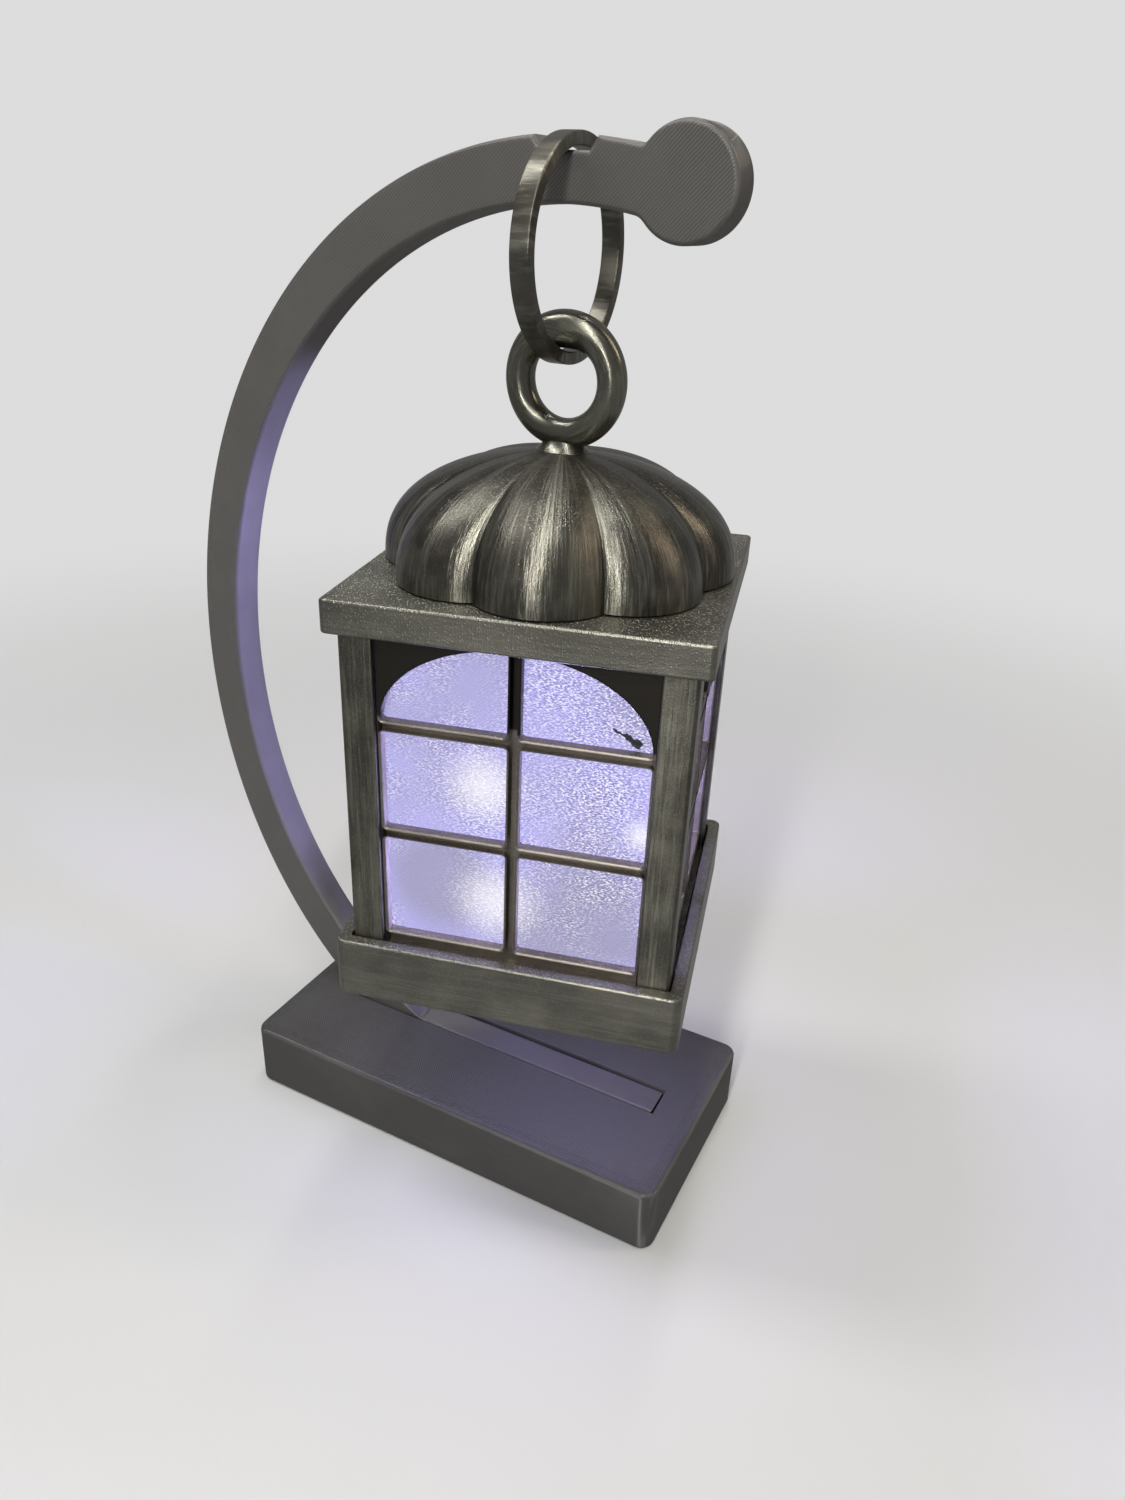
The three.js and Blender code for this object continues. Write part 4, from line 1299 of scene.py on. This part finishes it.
def studio_light(sizes, studio):
    """Four soft lamps round the lantern, one in the flame and the violet spill under the tray."""
    for name, (azimuth, elevation, distance, size, tint) in studio_lamps.items():
        holder = lamp(name, "AREA", getattr(studio, name + "_power"), tint)
        sheet(holder, *size)
        right, back = looking_back(np.radians(azimuth), np.radians(elevation))
        place = (hang_x, 0, LAMP_TARGET) + distance * back
        holder.matrix_world = matrix_of(right, np.cross(back, right), back, place)
    flame = lamp("flame_lamp", "POINT", studio.flame_power, studio.flame_tint)
    flame.data.shadow_soft_size = 0.012
    carry(flame, "tea_light", (low("flame_cap") + high("flame_cap")) / 2 + 0.006)
    spill = lamp("spill_lamp", "AREA", studio.spill_power, studio.flame_tint)
    sheet(spill, 0.9 * sizes.tray_size, 0.9 * sizes.tray_size)
    carry(spill, "tray", low("base_tray") - 0.0005)


def surroundings(studio):
    """Pale where the camera and reflections look, and a lower even light on the object."""
    world = bpy.data.worlds.new("Surroundings")
    bpy.context.scene.world = world
    world.use_nodes = True
    background = world.node_tree.nodes["Background"]
    seen, mirrored = is_ray(background, "Camera"), is_ray(background, "Glossy")
    strength = between(seen, 0.0, 1.0, studio.ambient, studio.surround)
    strength = between(mirrored, 0.0, 1.0, strength, studio.reflected)
    feed(background, strength=strength, color=(1, 1, 1, 1))


def photo_camera():
    """The camera as fitted to the corners of the base, the lid and the tray in the photograph."""
    azimuth, pitch, roll = 0.458, 0.4696, 0.0444
    place = (0.0962914, -0.1676163, 0.1879365)
    level, back = looking_back(azimuth, pitch)
    above = np.cross(back, level)
    right = np.cos(roll) * level + np.sin(roll) * above
    up = np.cos(roll) * above - np.sin(roll) * level
    camera = bpy.data.cameras.new("photo_camera")
    camera.sensor_width = 36
    camera.lens = 25.955
    camera.clip_start = 0.01
    holder = linked("photo_camera", camera)
    holder.matrix_world = matrix_of(right, up, back, place)
    bpy.context.scene.camera = holder


# Operators


def build(context, *makers):
    """Runs each maker with the scene's sizes and finishes."""
    for maker in makers:
        maker(context.scene.lantern_sizes, context.scene.lantern_finish)
    return {"FINISHED"}


class MINI_LANTERN_OT_stand(bpy.types.Operator):
    """Add the base block and the curved arm."""

    bl_idname = "mini_lantern.stand"
    bl_label = "Stand"

    def execute(self, context):
        return build(context, base_block, arm_plate)


class MINI_LANTERN_OT_rings(bpy.types.Operator):
    """Add the hanging ring and the eye ring."""

    bl_idname = "mini_lantern.rings"
    bl_label = "Rings"

    def execute(self, context):
        return build(context, hanging_band, eye_loop)


class MINI_LANTERN_OT_roof(bpy.types.Operator):
    """Add the lobed dome and the square lid."""

    bl_idname = "mini_lantern.roof"
    bl_label = "Roof"

    def execute(self, context):
        return build(context, lobed_dome, square_lid)


class MINI_LANTERN_OT_housing(bpy.types.Operator):
    """Add the cage of four posts."""

    bl_idname = "mini_lantern.housing"
    bl_label = "Posts"

    def execute(self, context):
        return build(context, post_cage)


class MINI_LANTERN_OT_windows(bpy.types.Operator):
    """Add the four window frames and their panes."""

    bl_idname = "mini_lantern.windows"
    bl_label = "Windows"

    def execute(self, context):
        return build(context, window_frames, lit_panes)


class MINI_LANTERN_OT_tray(bpy.types.Operator):
    """Add the tray that the lantern stands in."""

    bl_idname = "mini_lantern.tray"
    bl_label = "Tray"

    def execute(self, context):
        return build(context, skirt_tray)


class MINI_LANTERN_OT_tea_light(bpy.types.Operator):
    """Add the tea light and finish the pieces inside it."""

    bl_idname = "mini_lantern.tea_light"
    bl_label = "Tea light"

    def execute(self, context):
        inner_finishes(context.scene.lantern_finish)
        return build(context, tea_case, tea_flame)


class MINI_LANTERN_OT_studio(bpy.types.Operator):
    """Add the floor, the lamps, the surroundings and the camera."""

    bl_idname = "mini_lantern.studio"
    bl_label = "Studio"

    def execute(self, context):
        studio = context.scene.lantern_studio
        context.scene.view_settings.view_transform = "Standard"
        studio_floor(studio)
        surroundings(studio)
        studio_light(context.scene.lantern_sizes, studio)
        photo_camera()
        return {"FINISHED"}


class MINI_LANTERN_PT_pieces(bpy.types.Panel):
    """The lantern's pieces, in the order in which they are built."""

    bl_label = "Mini lantern"
    bl_idname = "MINI_LANTERN_PT_pieces"
    bl_space_type = "VIEW_3D"
    bl_region_type = "UI"
    bl_category = "Mini lantern"

    def draw(self, context):
        for operator in operators:
            self.layout.operator(operator.bl_idname)


settings = {
    "lantern_sizes": LanternSizes,
    "lantern_finish": FinishSettings,
    "lantern_studio": StudioSettings,
}

operators = (
    MINI_LANTERN_OT_stand,
    MINI_LANTERN_OT_rings,
    MINI_LANTERN_OT_roof,
    MINI_LANTERN_OT_housing,
    MINI_LANTERN_OT_windows,
    MINI_LANTERN_OT_tray,
    MINI_LANTERN_OT_tea_light,
    MINI_LANTERN_OT_studio,
)

classes = (*settings.values(), *operators, MINI_LANTERN_PT_pieces)


def register():
    for cls in classes:
        bpy.utils.register_class(cls)
    for name, group in settings.items():
        setattr(bpy.types.Scene, name, bpy.props.PointerProperty(type=group))


def unregister():
    for name in settings:
        delattr(bpy.types.Scene, name)
    for cls in reversed(classes):
        bpy.utils.unregister_class(cls)


def main():
    """Build every piece."""
    register()
    bpy.ops.mini_lantern.stand()
    bpy.ops.mini_lantern.rings()
    bpy.ops.mini_lantern.roof()
    bpy.ops.mini_lantern.housing()
    bpy.ops.mini_lantern.windows()
    bpy.ops.mini_lantern.tray()
    bpy.ops.mini_lantern.tea_light()
    bpy.ops.mini_lantern.studio()


if __name__ == "__main__":
    main()
